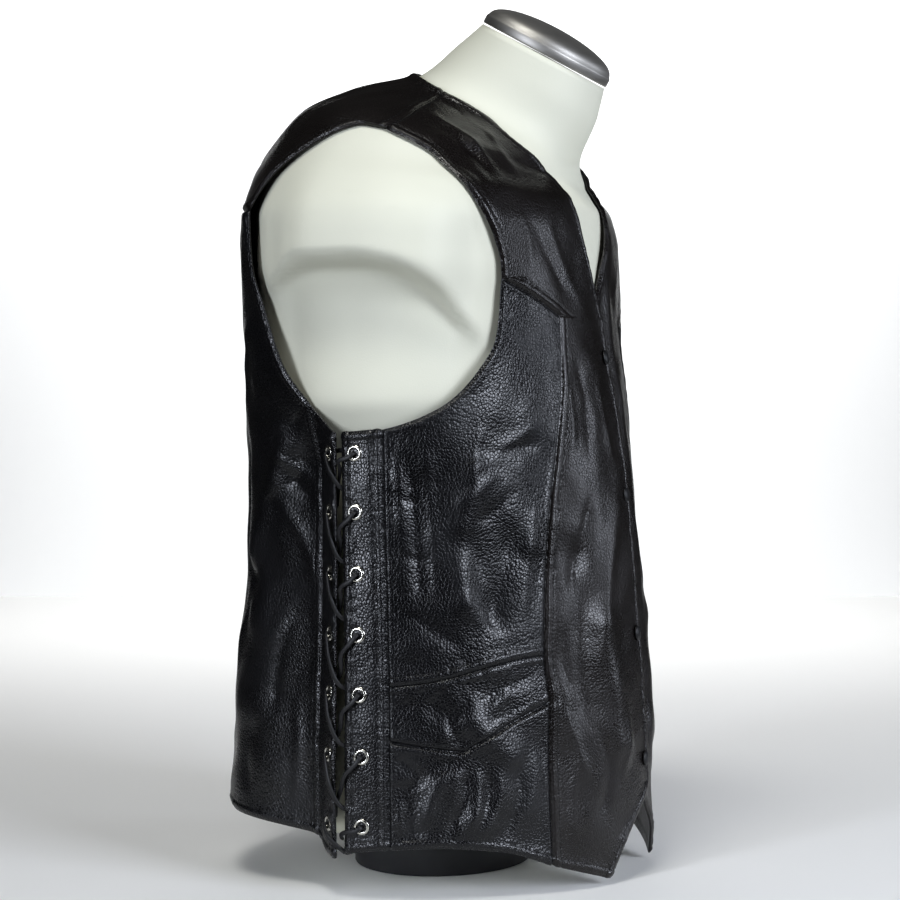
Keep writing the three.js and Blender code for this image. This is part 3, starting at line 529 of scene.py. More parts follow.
def border_distance(base):
    """Distances of each place of a grid from its left, right, top and bottom edge: the length
    along the grid's line times the sine of the angle at which the line meets the edge; and the
    lengths along the edges themselves."""
    def from_first(grid):
        """Distances from the grid's first column, and the lengths along that column."""
        steps = np.linalg.norm(np.diff(grid, axis=1), axis=-1)
        length = np.concatenate([np.zeros((len(grid), 1)), np.cumsum(steps, 1)], 1)
        line = unit(grid[:, 1] - grid[:, 0])
        edge = unit(np.gradient(grid[:, 0], axis=0))
        sine = np.clip(np.linalg.norm(np.cross(line, edge), axis=-1), 0.25, 1)
        run = run_length(grid[:, 0])
        return length * sine[:, None], np.broadcast_to(run[:, None], length.shape)
    turned = base.transpose(1, 0, 2)
    left, left_run = from_first(base)
    right, right_run = from_first(base[:, ::-1])
    top, top_run = from_first(turned)
    bottom, bottom_run = from_first(turned[:, ::-1])
    return ((left, left_run), (right[:, ::-1], right_run[:, ::-1]), (top.T, top_run.T),
            (bottom[:, ::-1].T, bottom_run[:, ::-1].T))


# How the leather lies near each kind of edge, and where the thread runs beside it, in mm.
EDGE_KINDS = {
    # groove at the seam, its reach, roll beside it, the threads' distances, puckers
    "seam": {"groove": 2.0, "reach": 1.7, "roll": 0.35, "threads": (), "pucker": 0.12},
    "stitched": {"groove": 1.8, "reach": 1.9, "roll": 0.6, "threads": (7.6,), "pucker": 0.14},
    "close": {"groove": 1.8, "reach": 1.5, "roll": 0.5, "threads": (3.4,), "pucker": 0.16},
    "turned": {"groove": 0.25, "reach": 0.9, "roll": 0.7, "threads": (6.4,), "pucker": 0.2},
    "lace": {"groove": 0.25, "reach": 0.9, "roll": 0.3, "threads": (5.8,), "pucker": 0.3},
    "mouth": {"groove": 1.8, "reach": 1.5, "roll": 0.8, "threads": (3.0, 15.5), "pucker": 0.2},
}
TURNED = ("turned", "lace")  # kinds of edge where the leather is turned back behind
TURN_WIDTH = 9.0
TURN_RISE, TURN_BEHIND = 0.45, 0.6  # what the doubled leather adds outside and inside
DEEPEST_GROOVE, THINNEST = 1.8, 0.35
DITCH = {"depth": 0.5, "reach": 0.9}


def edge_relief(distance, run, kind, seed):
    """Height of the outer face near an edge: a bell shaped groove on the seam line, a roll beside
    it, a ditch under the thread and puckers that die out 10 mm from the edge."""
    k = EDGE_KINDS[kind]
    height = -k["groove"] * np.exp(-(distance / k["reach"]) ** 2)
    height += k["roll"] * np.exp(-((distance - 3.4) / 2.6) ** 2)
    for thread in k["threads"]:
        height -= DITCH["depth"] * np.exp(-((distance - thread) / DITCH["reach"]) ** 2)
    if kind in TURNED:
        doubled = 1 - smooth(TURN_WIDTH - 2, TURN_WIDTH + 1, distance)
        height += TURN_RISE * doubled * smooth(0, 1.5, distance)
    waved = pucker(run + seed * 37.0, distance * 0.35 + seed)
    height += k["pucker"] * waved * np.exp(-((distance - 3) / 6) ** 2) * smooth(0, 1.5, distance)
    return height


class Panel:
    """One leather panel: a grid of (angle, height) places and the kinds of its four edges, in the
    order left, right, top, bottom. Its outer face is the body's plus folds, creases and edge
    relief; slack_size is the height of the uneven slack in its leather. lift is a function of
    the angle that raises the panel."""

    def __init__(self, name, places, edges, side=1, lift=None, slack_size=0.45, crease_size=1.0):
        self.name, self.edges, self.side = name, edges, side
        angle, height = places[..., 0], places[..., 1]
        base = body_point(angle, height)
        self.out = body_normal(angle, height)
        self.distances = border_distance(base)
        raised = fold_height(angle, height) + (lift(angle) if lift else 0.0)
        arc = np.where(angle > 180, angle, angle * side) * ARC
        detail = slack_size * slack(arc, height) + crease_size * crease_height(angle, height, side)
        relief = np.zeros(angle.shape)
        behind = np.zeros(angle.shape)
        calm = np.ones(angle.shape)
        for n, ((distance, run), kind) in enumerate(zip(self.distances, edges)):
            relief += edge_relief(distance, run, kind, n + 3 * len(name))
            calm = np.minimum(calm, smooth(0, 9, distance) * 0.75 + 0.25)
            if kind in TURNED:
                behind = np.maximum(behind, 1 - smooth(TURN_WIDTH - 1.5, TURN_WIDTH, distance))
        relief = np.maximum(relief, -DEEPEST_GROOVE)
        self.outer = base + self.out * (raised + detail * calm + relief)[..., None]
        thick = np.maximum(relief + LEATHER + TURN_BEHIND * behind, THINNEST)
        self.inner = self.outer - self.out * thick[..., None]
        plain = base + self.out * (raised - LEATHER / 2)[..., None]
        a = plain[1:, :-1] - plain[:-1, 1:]
        b = plain[1:, 1:] - plain[:-1, :-1]
        self.area = np.linalg.norm(np.cross(a, b), axis=-1).sum() / 2 * MM * MM
        wide = np.linalg.norm(np.diff(plain, axis=1), axis=-1).sum(1).max() * MM
        tall = np.linalg.norm(np.diff(plain, axis=0), axis=-1).sum(0).max() * MM
        self.cut = (float(wide), float(tall))
        self.mirror = np.array([side, 1, 1])

    def build(self):
        """The panel's mesh object: a shell of both faces, mirrored on the left side."""
        points, faces = shell(self.outer * self.mirror, self.inner * self.mirror)
        return mesh_object(self.name, points, faces)

    def thread_paths(self):
        """Lines at the thread's distance from each stitched edge: on every grid line the place
        where the distance passes that value, between two neighbours."""
        paths = []
        for n, ((d, _), kind) in enumerate(zip(self.distances, self.edges)):
            grid, normal = self.outer, self.out
            others = [self.distances[m][0] for m in ((2, 3) if n < 2 else (0, 1))]
            if n >= 2:
                grid, normal, d = grid.transpose(1, 0, 2), normal.transpose(1, 0, 2), d.T
                others = [o.T for o in others]
            if n % 2:
                grid, normal, d = grid[:, ::-1], normal[:, ::-1], d[:, ::-1]
                others = [o[:, ::-1] for o in others]
            rows = np.arange(len(d))
            for want in EDGE_KINDS[kind]["threads"]:
                k = np.clip((d < want).sum(1), 1, d.shape[1] - 1)
                share = (want - d[rows, k - 1]) / np.maximum(d[rows, k] - d[rows, k - 1], 1e-6)
                share = np.clip(share, 0, 1)[:, None]
                line = grid[rows, k - 1] * (1 - share) + grid[rows, k] * share
                out = unit(normal[rows, k - 1] * (1 - share) + normal[rows, k] * share)
                keep = (d.max(1) > want) & (others[0][rows, k] > 0.8) & (others[1][rows, k] > 0.8)
                paths.append((line[keep] * self.mirror, out[keep] * self.mirror))
        return paths


def seam_turn(share):
    """Angle by which the shoulder seam bends forward: half a sine along it."""
    return -SHOULDER_BEND * np.sin(np.pi * np.clip(share, 0, 1))


def resample(rows, paths, corners, step):
    """Rows of a table spread evenly along the mean length of two paths: smooth curves through the
    rows, run by run, where corners lists the rows at which a corner stays. Gives the lengths at
    the table's own rows, those at the new ones, and the new rows."""
    gap = sum(np.linalg.norm(np.diff(path, axis=0), axis=1) for path in paths) / 2
    at = np.concatenate([[0], np.cumsum(np.maximum(gap, 1))])
    samples = np.concatenate([spread(at[-1], step) * at[-1], at[list(corners)]])
    samples = np.unique(np.round(samples, 4))
    table = np.zeros((len(samples), rows.shape[1]))
    cuts = [0, *corners, len(rows) - 1]
    for start, stop in zip(cuts[:-1], cuts[1:]):
        where = (samples >= at[start] - 1e-3) & (samples <= at[stop] + 1e-3)
        table[where] = curve_through(at[start:stop + 1], rows[start:stop + 1], samples[where])
    return at, samples, table


def ruled(rows, step, corners, outer_line, inner_line=None, bend_rows=0):
    """Places of a panel ruled between the two ends of each row of a table. inner_line and
    outer_line replace an end's angle by a seam's. The first row follows the shoulder seam's bend,
    which dies out over bend_rows rows."""
    rows = np.array(rows, float)
    ends = (body_point(rows[:, 0], rows[:, 1]), body_point(rows[:, 2], rows[:, 3]))
    at, samples, table = resample(rows, ends, corners, step)
    if inner_line:
        table[:, 0] = inner_line(table[:, 1], table[:, 0])
    table[:, 2] = outer_line(table[:, 3], table[:, 2])
    ends = (body_point(table[:, 0], table[:, 1]), body_point(table[:, 2], table[:, 3]))
    width = np.linalg.norm(ends[0] - ends[1], axis=1).max() * 1.05
    across = spread(width, step)
    angle = table[:, :1] + (table[:, 2:3] - table[:, :1]) * across
    height = table[:, 1:2] + (table[:, 3:4] - table[:, 1:2]) * across
    if bend_rows:
        angle = angle + seam_turn(across) * np.maximum(1 - samples / at[bend_rows], 0)[:, None]
    return np.stack([angle, height], -1)


def framed(left, right, top, bottom, step):
    """Places of a panel between two upright edges and two that run round the body: the angle is
    mixed between the upright edges at the place's height, and the height between the others at
    its angle, a few times over until both hold."""
    level = np.mean([top(60.0), bottom(60.0)]) / 2  # where the panel's width is taken
    ends = np.array([left(level), right(level)])
    tall = abs(float(np.mean(top(ends)) - np.mean(bottom(ends))))
    wide = np.linalg.norm(body_point(ends[0], level) - body_point(ends[1], level)) * 1.1
    down, across = spread(tall, step)[:, None], spread(wide, step)[None, :]
    height = np.full((down.size, across.size), level)
    for _ in range(14):
        angle = left(height) * (1 - across) + right(height) * across
        height = top(angle) * (1 - down) + bottom(angle) * down
    return np.stack([angle, height], -1)


def back_places(rows, corners, step, side_line=None, seam=False):
    """Places of a back piece, from the right side over the middle back to the left: the height
    goes from the side's to the middle's as a quarter of a sine. Where seam is set, the first run
    of its side follows the shoulder seam's bend."""
    rows = np.array(rows, float)
    middle = body_point(np.full(len(rows), 180.0), rows[:, 2])
    at, samples, table = resample(rows, (body_point(rows[:, 0], rows[:, 1]), middle), corners, step)
    if side_line:
        table[:, 0] = side_line(table[:, 1], table[:, 0])
    across = spread(np.radians(360 - 2 * rows[:, 0].min()) * BACK_RADIUS, step)
    angle = table[:, :1] + (360 - 2 * table[:, :1]) * across
    inward = 1 - np.abs(2 * across - 1)
    share = np.sin(np.pi / 2 * inward)
    height = table[:, 1:2] + (table[:, 2:3] - table[:, 1:2]) * share
    if seam:
        turn = seam_turn(samples / at[1])[:, None] * (1 - inward) ** 2
        angle = angle + np.where(across < 0.5, turn, -turn)
    return np.stack([angle, height], -1)


def keep_seam(line, below):
    """An end's angle from a seam where the height is at or below a value."""
    return lambda height, angle: np.where(height <= below + 1e-6, line(height), angle)


# ---------------------------------------------------------------- materials

def linear(code):
    """A colour of six sRGB hex digits as linear red, green, blue and alpha."""
    parts = [int(code[i:i + 2], 16) / 255 for i in (1, 3, 5)]
    return [p / 12.92 if p <= 0.04045 else ((p + 0.055) / 1.055) ** 2.4 for p in parts] + [1.0]


def add(tree, kind, inputs=None, **settings):
    """Adds a node with its settings; an input is a value, or the socket that it is linked to."""
    made = tree.nodes.new(kind)
    for name, value in settings.items():
        setattr(made, name, value)
    for socket, value in (inputs or {}).items():
        if isinstance(value, bpy.types.NodeSocket):
            tree.links.new(value, made.inputs[socket])
        else:
            made.inputs[socket].default_value = value
    return made


def new_material(name):
    """A new material of that name with an empty node tree, and the tree."""
    made = bpy.data.materials.new(name)
    made.use_nodes = True
    made.node_tree.nodes.clear()
    return made, made.node_tree


def finish_material(tree, shader_inputs):
    """Links a principled shader with those inputs to the material's surface."""
    shader = add(tree, "ShaderNodeBsdfPrincipled", shader_inputs)
    add(tree, "ShaderNodeOutputMaterial", {"Surface": shader.outputs["BSDF"]})
    return shader


def leather_material(name, dark, light, grain, rough, bump):
    """Cowhide, drum dyed black, with a pebbled grain and a semi gloss finish: small round pebbles
    with fine valleys between them, faint wrinkles, and shine that differs from place to place."""
    made, tree = new_material(name)
    place = add(tree, "ShaderNodeTexCoord").outputs["Object"]
    stir = add(tree, "ShaderNodeTexNoise", {"Vector": place, "Scale": 420.0, "Detail": 2.0})
    bent = add(tree, "ShaderNodeVectorMath", {0: stir.outputs["Color"], 1: (0.0012,) * 3},
               operation="MULTIPLY")
    moved = add(tree, "ShaderNodeVectorMath", {0: place, 1: bent.outputs[0]}, operation="ADD")
    cells = {"Vector": moved.outputs[0], "Scale": 1000.0 / grain, "Randomness": 0.95}
    pebbles = add(tree, "ShaderNodeTexVoronoi", cells, feature="F1")
    valley = add(tree, "ShaderNodeTexVoronoi", cells, feature="DISTANCE_TO_EDGE")
    dome = add(tree, "ShaderNodeMapRange",
               {"Value": valley.outputs["Distance"], "From Min": 0.0, "From Max": 0.13,
                "To Min": 0.0, "To Max": 1.0}, interpolation_type="SMOOTHSTEP")
    square = add(tree, "ShaderNodeMath", {0: pebbles.outputs["Distance"], 1: 2.0},
                 operation="POWER")
    crown = add(tree, "ShaderNodeMath", {0: square.outputs[0], 1: -1.4}, operation="MULTIPLY")
    grain_height = add(tree, "ShaderNodeMath", {0: dome.outputs[0], 1: 0.34, 2: crown.outputs[0]},
                       operation="MULTIPLY_ADD")
    wrinkle = add(tree, "ShaderNodeTexNoise",
                  {"Vector": place, "Scale": 60.0, "Detail": 2.0, "Roughness": 0.55,
                   "Distortion": 0.6})
    patch = add(tree, "ShaderNodeTexNoise", {"Vector": place, "Scale": 16.0, "Detail": 3.0})
    soft = add(tree, "ShaderNodeBump",
               {"Strength": 0.5, "Distance": 0.0006, "Height": wrinkle.outputs["Fac"]})
    fine = add(tree, "ShaderNodeBump",
               {"Strength": bump, "Distance": 0.0003, "Height": grain_height.outputs[0],
                "Normal": soft.outputs["Normal"]})
    patches = {"Value": patch.outputs["Fac"], "From Min": 0.3, "From Max": 0.7}
    shade = add(tree, "ShaderNodeMapRange", {**patches, "To Min": 0.0, "To Max": 1.0})
    # a colour mix node has several sockets of one name, so its colour ones are set by number
    colour = add(tree, "ShaderNodeMix",
                 {"Factor": shade.outputs[0], 6: linear(dark), 7: linear(light)}, data_type="RGBA")
    gloss = add(tree, "ShaderNodeMapRange",
                {**patches, "To Min": rough - 0.05, "To Max": rough + 0.07})
    worn = add(tree, "ShaderNodeMath", {0: dome.outputs[0], 1: -0.1, 2: gloss.outputs[0]},
               operation="MULTIPLY_ADD")
    gloss_out = add(tree, "ShaderNodeMath", {0: worn.outputs[0], 1: 0.08}, operation="ADD")
    finish_material(tree, {"Base Color": colour.outputs[2], "Roughness": gloss_out.outputs[0],
                           "IOR": 1.5, "Normal": fine.outputs["Normal"]})
    return made


def grainy_material(name, colour, noise, bump=None, gloss=None, **inputs):
    """A plain finish with a fine grain: noise of (scale, detail) gives the surface its relief, a
    bump of (strength, distance), and its uneven shine, a map range with those settings."""
    made, tree = new_material(name)
    place = add(tree, "ShaderNodeTexCoord").outputs["Object"]
    grain = add(tree, "ShaderNodeTexNoise",
                {"Vector": place, "Scale": noise[0], "Detail": noise[1]}).outputs["Fac"]
    if bump:
        inputs["Normal"] = add(tree, "ShaderNodeBump", {
            "Strength": bump[0], "Distance": bump[1], "Height": grain}).outputs["Normal"]
    if gloss:
        inputs["Roughness"] = add(tree, "ShaderNodeMapRange", {"Value": grain, **gloss}).outputs[0]
    finish_material(tree, {"Base Color": colour, **inputs})
    return made


def form_material(name):
    """Stretch cotton cover glued on a moulded shell: matt, cream, with a very fine knit."""
    made, tree = new_material(name)
    place = add(tree, "ShaderNodeTexCoord").outputs["Object"]
    cloud = add(tree, "ShaderNodeTexNoise", {"Vector": place, "Scale": 9.0, "Detail": 4.0})
    knit = add(tree, "ShaderNodeTexNoise", {"Vector": place, "Scale": 900.0, "Detail": 2.0})
    colour = add(tree, "ShaderNodeMix", {"Factor": cloud.outputs["Fac"], 6: linear("#cfcfbf"),
                                         7: linear("#d8d8c8")}, data_type="RGBA")
    bump = add(tree, "ShaderNodeBump",
               {"Strength": 0.25, "Distance": 0.0003, "Height": knit.outputs["Fac"]})
    finish_material(tree, {"Base Color": colour.outputs[2], "Roughness": 0.62, "IOR": 1.5,
                           "Sheen Weight": 0.12, "Normal": bump.outputs["Normal"]})
    return made


def cap_material(name):
    """Spun steel, brushed round its axis: fine rings that spread the shine across them."""
    made, tree = new_material(name)
    place = add(tree, "ShaderNodeTexCoord").outputs["Object"]
    tilt = -math.atan(SECTIONS[-1, -1])  # the cap's axis leans as the neck does
    turned = add(tree, "ShaderNodeMapping", {"Vector": place, "Rotation": (tilt, 0, 0),
                                             "Scale": (1.0, 1.0, 60.0)})
    grit = add(tree, "ShaderNodeTexNoise", {"Vector": turned.outputs[0], "Scale": 40.0,
                                            "Detail": 6.0, "Roughness": 0.7})
    gloss = add(tree, "ShaderNodeMapRange",
                {"Value": grit.outputs["Fac"], "From Min": 0.3, "From Max": 0.7, "To Min": 0.44,
                 "To Max": 0.58})
    bump = add(tree, "ShaderNodeBump",
               {"Strength": 0.25, "Distance": 0.0002, "Height": grit.outputs["Fac"]})
    finish_material(tree, {"Base Color": linear("#a8a6a2"), "Metallic": 1.0,
                           "Roughness": gloss.outputs[0], "Normal": bump.outputs["Normal"]})
    return made


# colour, noise and settings of the plain finishes
GRAINY = {
    # a thong cut from dyed leather: satin, with fine lengthwise fibre
    "lace_thong": ("#161618", (900.0, 4.0),
                   {"bump": (0.5, 0.0003), "Roughness": 0.5, "IOR": 1.5}),
    # bonded polyester thread, black, with a slight shine
    "polyester_thread": ("#151516", (2400.0, 2.0),
                         {"bump": (0.4, 0.0002), "Roughness": 0.45, "IOR": 1.5}),
    # brass eyelet stock with polished nickel plate: bright, a little warm, with faint scuffs
    "nickel_plate": ("#c4c2ba", (700.0, 4.0), {
        "gloss": {"From Min": 0.3, "From Max": 0.7, "To Min": 0.14, "To Max": 0.32},
        "Metallic": 1.0}),
    # brass snap caps under black baked enamel: glossy, with a soft uneven skin
    "baked_enamel": ("#101012", (260.0, 2.0),
                     {"gloss": {"To Min": 0.4, "To Max": 0.52}, "IOR": 1.5}),
    # injection moulded ABS, black, with a fine spark texture
    "moulded_abs": ("#2a2a2c", (800.0, 3.0),
                    {"bump": (0.3, 0.0002), "Roughness": 0.55, "IOR": 1.53}),
}
MATERIALS = {}


def material(name):
    """The material of that name, made when it is first asked for."""
    if name not in MATERIALS:
        vest = bpy.context.scene.vest_leather
        if name == "pebbled_cowhide":
            made = leather_material(name, "#0b0b0d", "#121215", vest.grain / MM, vest.roughness,
                                    vest.grain_depth)
        elif name == "smooth_cowhide":
            made = leather_material(name, "#100d0c", "#171312", vest.grain / MM,
                                    vest.roughness + 0.02, vest.grain_depth * 0.75)
        elif name in GRAINY:
            colour, noise, settings = GRAINY[name]
            made = grainy_material(name, linear(colour), noise, **settings)
        else:
            made = {"form_jersey": form_material, "spun_steel": cap_material}[name](name)
        MATERIALS[name] = made
    return MATERIALS[name]


# ---------------------------------------------------------------- pieces

def keep_piece(piece, finish, slot_name, *nodes):
    """Gives a finished piece its material and its body, and hides the nodes that it stands for;
    slot_name is not used.
    """
    piece.data.materials.append(material(finish))
    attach(piece, "root")
    if nodes:
        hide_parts(*nodes)
    return piece


def closed_piece(name, parts, finish, slot_name, *nodes):
    """Keeps one piece made of closed bodies, given as points and faces."""
    points, faces = join(parts)
    return keep_piece(mesh_object(name, points, faces), finish, slot_name, *nodes)


PANELS = {}
FORM_NAME = "form_cover_torso"


def place_panel(panel, node, slot_name):
    """Places a panel's mesh, in smooth cowhide for the smooth leather slot and pebbled cowhide
    otherwise, hides its node and keeps the panel for the stitching. The panel works out its flat
    size (its widest and its longest grid line) and its area (that of its middle face with the
    folds, but without creases), but they are not used here."""
    finish = "smooth_cowhide" if slot_name == "smooth_leather" else "pebbled_cowhide"
    piece = keep_piece(panel.build(), finish, slot_name, node)
    PANELS[panel.name] = panel


def under_lap(angle):
    """Drop of the left front where it passes under the right one."""
    return -(LEATHER + LAP_AIR) * (1 - smooth(*LAP_TURN, angle))


def lathe(profile, centre, axis, around=40):
    """A closed body of revolution: the profile (radius, height) turned about the axis. A profile
    that starts and ends at radius nought has its poles closed by fans, and another one closes on
    itself as a ring."""
    profile = np.array(profile, float)
    axis = unit(np.array(axis, float))
    side = unit(np.cross(axis, [0, 0, 1] if abs(axis[2]) < 0.9 else [1, 0, 0]))
    other = np.cross(axis, side)
    turn = np.arange(around) * 2 * np.pi / around
    ring = np.cos(turn)[:, None] * side + np.sin(turn)[:, None] * other
    points = centre + profile[:, None, 0:1] * ring[None] + profile[:, None, 1:2] * axis
    if profile[0, 0] > 0:
        index = np.arange(len(profile) * around).reshape(len(profile), around)
        index = np.concatenate([index, index[:1]])
        return points.reshape(-1, 3), [grid_faces(index, closed=True)]
    body = points[1:-1].reshape(-1, 3)
    index = np.arange(len(body)).reshape(-1, around)
    ends = np.stack([centre + profile[0, 1] * axis, centre + profile[-1, 1] * axis])
    return np.concatenate([body, ends]), tube_faces(index, len(body), len(body) + 1)


def join(parts):
    """Several (points, faces) bodies as one, each turned outward first."""
    points, faces, start = [], [], 0
    for p, f in parts:
        faces += [np.asarray(x) + start for x in outward(p - p.mean(0), f)]
        points.append(p)
        start += len(p)
    return np.concatenate(points), faces


def vest_point(angle, height, lift, side):
    """Places of the vest, lift mm outside its outer face, and the outward direction there."""
    angle, height = np.asarray(angle, float), np.asarray(height, float)
    out = body_normal(angle, height)
    raised = fold_height(angle, height) + lift
    mirror = np.array([side, 1, 1])
    return (body_point(angle, height) + out * np.asarray(raised)[..., None]) * mirror, out * mirror


def rounded(profile, radius_steps=3, size=0.3):
    """A closed profile whose corners are cut by short arcs: each corner becomes points on a
    quadratic curve between points `size` before and after it."""
    profile = np.array(profile, float)
    before, after = np.roll(profile, 1, 0), np.roll(profile, -1, 0)
    reach_b = np.minimum(size, np.linalg.norm(profile - before, axis=1) / 2.2)[:, None]
    reach_a = np.minimum(size, np.linalg.norm(profile - after, axis=1) / 2.2)[:, None]
    start = profile + unit(before - profile) * reach_b
    stop = profile + unit(after - profile) * reach_a
    t = np.linspace(0, 1, radius_steps + 1)[:, None, None]
    curve = (1 - t) ** 2 * start + 2 * t * (1 - t) * profile + t * t * stop
    return curve.transpose(1, 0, 2).reshape(-1, 2)


def catmull(points, per_piece):
    """A centripetal Catmull-Rom curve through points, by the Barry and Goldman blend."""
    points = np.array(points, float)
    ends = np.concatenate([[2 * points[0] - points[1]], points, [2 * points[-1] - points[-2]]])
    p0, p1, p2, p3 = ends[:-3], ends[1:-2], ends[2:-1], ends[3:]
    t01 = np.linalg.norm(p1 - p0, axis=1) ** 0.5
    t12 = np.linalg.norm(p2 - p1, axis=1) ** 0.5
    t23 = np.linalg.norm(p3 - p2, axis=1) ** 0.5
    s = np.arange(per_piece) / per_piece
    t = (t01[:, None] + s * t12[:, None])[..., None]
    k0 = np.zeros_like(t01)[:, None, None]
    k1, k2, k3 = t01[:, None, None], (t01 + t12)[:, None, None], (t01 + t12 + t23)[:, None, None]
    p0, p1, p2, p3 = (p[:, None] for p in (p0, p1, p2, p3))
    a1 = (k1 - t) / (k1 - k0) * p0 + (t - k0) / (k1 - k0) * p1
    a2 = (k2 - t) / (k2 - k1) * p1 + (t - k1) / (k2 - k1) * p2
    a3 = (k3 - t) / (k3 - k2) * p2 + (t - k2) / (k3 - k2) * p3
    b1 = (k2 - t) / (k2 - k0) * a1 + (t - k0) / (k2 - k0) * a2
    b2 = (k3 - t) / (k3 - k1) * a2 + (t - k1) / (k3 - k1) * a3
    curve = (k2 - t) / (k2 - k1) * b1 + (t - k1) / (k2 - k1) * b2
    return np.concatenate([curve.reshape(-1, points.shape[1]), points[-1:]])


def smooth_along(values, width):
    """Values along a path, blurred by a bell curve of that width in samples."""
    k = np.exp(-0.5 * (np.arange(-3 * width, 3 * width + 1) / width) ** 2)
    k /= k.sum()
    padded = np.pad(values, ((3 * width, 3 * width), (0, 0)), mode="edge")
    return np.stack([np.convolve(column, k, mode="valid") for column in padded.T], -1)


def lace_route(side):
    """Points and outward directions of a lace, from one tucked end over the top pair of eyelets to
    the other, as the solid has them: at each eyelet it comes up, crosses the strip, dives into the
    gap's middle and goes on behind to the next eyelet of the other strip."""
    def gap_angle(height):
        """The middle of the gap between the two strips at that height."""
        front = np.interp(height, *np.array(FRONT_LACE_EDGE).T)
        back = np.interp(height, *np.array(BACK_LACE_EDGE).T)
        return (front + back) / 2

    def strand(at_front):
        """Angle, height and lift of the places down one half of the lace, from the front or the
        back eyelet of the top pair, and from side to side."""
        places = []
        for i, (height, front, back, front_drop, back_drop) in enumerate(EYELETS):
            angle, drop, to_gap = (front, front_drop, 0.3) if at_front else (back, back_drop, -0.3)
            reach, dive_lift, short = LACE_DIVE["front" if at_front else "back"]
            dive = gap_angle(height - drop) - to_gap * short
            slant = min(max(drop / 12, 0.8), 1.6)
            if i > 0:
                places.append((angle - to_gap * 0.5, height + 6.5, -6.6))
            places += [(angle, height + 0.4, -3.8), (angle, height, 0.0),
                       (angle + to_gap * 0.1, height - 0.2, 2.9),
                       (angle + to_gap * 3.2, height - 3.2 * slant, 4.5),
                       (angle + to_gap * reach, height - drop * 0.55, 3.7),
                       (dive, height - drop, dive_lift)]
            if i + 1 < len(EYELETS):
                after = EYELETS[i + 1]
                across = after[2] if at_front else after[1]
                places.append((dive * 0.4 + across * 0.6,
                               (height - drop) * 0.65 + after[0] * 0.35, -5.4))
            else:
                places.append((dive + to_gap * 2, height - drop - 4, -6.0))
            at_front = not at_front
        return places

    top, front, back = EYELETS[0][:3]
    places = strand(True)[::-1] + [(front + 1, top + 1.5, -5.8), (gap_angle(top), top + 2, -6.4),
                                   (back - 1, top + 1.5, -5.8)] + strand(False)
    places = np.array(places)
    return vest_point(places[:, 0], places[:, 1], places[:, 2], side)


def thong(points, normals, width, thick):
    """A flat thong along a path: a rounded oblong carried along it, its wide side in the leather's
    plane. The width's direction is the path's cross the leather's outward one, blurred along the
    path so that it turns softly where the thong passes through an eyelet."""
    both = catmull(np.concatenate([points, normals], 1), 12)
    path, out = both[:, :3], unit(both[:, 3:])
    along = unit(np.gradient(path, axis=0))
    wide = np.cross(along, out)
    wide *= np.where(wide[:, 2:3] < 0, -1, 1)
    wide = smooth_along(wide, 6)
    wide = unit(wide - along * (wide * along).sum(-1, keepdims=True))
    high = np.cross(along, wide)
    around, power = 12, 0.6
    turn = np.arange(around) * 2 * np.pi / around
    x, y = (np.sign(v) * np.abs(v) ** power * size / 2
            for v, size in ((np.cos(turn), width), (np.sin(turn), thick)))
    ring = x[None, :, None] * wide[:, None] + y[None, :, None] * high[:, None]
    body = (path[:, None] + ring).reshape(-1, 3)
    index = np.arange(len(body)).reshape(len(path), around)
    ends = np.stack([path[0] - along[0] * 0.4, path[-1] + along[-1] * 0.4])
    return np.concatenate([body, ends]), tube_faces(index, len(body), len(body) + 1)


STITCH = {"pitch": 3.4, "length": 2.6, "width": 0.62, "height": 0.42}
# along, girth and height of the rings of one stitch, as shares of its sizes
STITCH_RINGS = np.array([
    [-0.5, 0.12, -0.35], [-0.28, 0.9, 0.7], [0.28, 0.9, 0.7], [0.5, 0.12, -0.35],
])


def spots_along(places, run, at):
    """Places at given lengths along a line, straight between its points."""
    return np.stack([np.interp(at, run, column) for column in places.T], -1)


def stitches(paths):
    """Stitches along lines: a small lozenge per stitch, highest in its middle and sunk at both
    ends, placed every pitch along the line with its foot in the ditch."""
    around = 5
    turn = np.arange(around) * 2 * np.pi / around + np.pi / 2
    along, girth, high = STITCH_RINGS.T[..., None]
    shape = np.stack(np.broadcast_arrays(
        along * STITCH["length"], girth * np.cos(turn) * STITCH["width"] / 2,
        (girth * np.sin(turn) + high) * STITCH["height"] / 2), -1).reshape(-1, 3)
    size = len(shape)
    bodies = []
    for line, out in paths:
        if len(line) < 3:
            continue
        run = run_length(line)
        if run[-1] < 3 * STITCH["pitch"]:
            continue
        at = np.arange(STITCH["pitch"] / 2, run[-1], STITCH["pitch"])
        up = unit(spots_along(out, run, at))
        near = 0.6  # distance to both sides over which the direction is taken
        ahead = unit(spots_along(line, run, at + near) - spots_along(line, run, at - near))
        turned = np.stack([ahead, np.cross(up, ahead), up], 1)
        body = spots_along(line, run, at)[:, None] + shape @ turned
        bodies.append(body.reshape(-1, 3))
    if not bodies:
        raise RuntimeError("no line was long enough for a stitch")
    index = np.arange(size).reshape(-1, around)
    points = np.concatenate(bodies)
    caps = np.stack([index[0, ::-1], index[-1]])
    turned = outward(points[:size] - points[:size].mean(0), [grid_faces(index, closed=True), caps])
    starts = np.arange(0, len(points), size)[:, None, None]
    return points, [(q[None] + starts).reshape(-1, q.shape[1]) for q in turned]


# ---------------------------------------------------------------- settings

class VestLeather(bpy.types.PropertyGroup):
    """Leather of the vest."""
    grain: bpy.props.FloatProperty(
        name="Grain", description="Width of a pebble of the grain", default=0.0023, min=0.0004,
        max=0.004, unit="LENGTH")
    grain_depth: bpy.props.FloatProperty(
        name="Grain depth", description="How strongly the grain stands out", default=0.58, min=0,
        max=1, subtype="FACTOR")
    roughness: bpy.props.FloatProperty(
        name="Roughness", description="How much the finish spreads light", default=0.27, min=0,
        max=1, subtype="FACTOR")


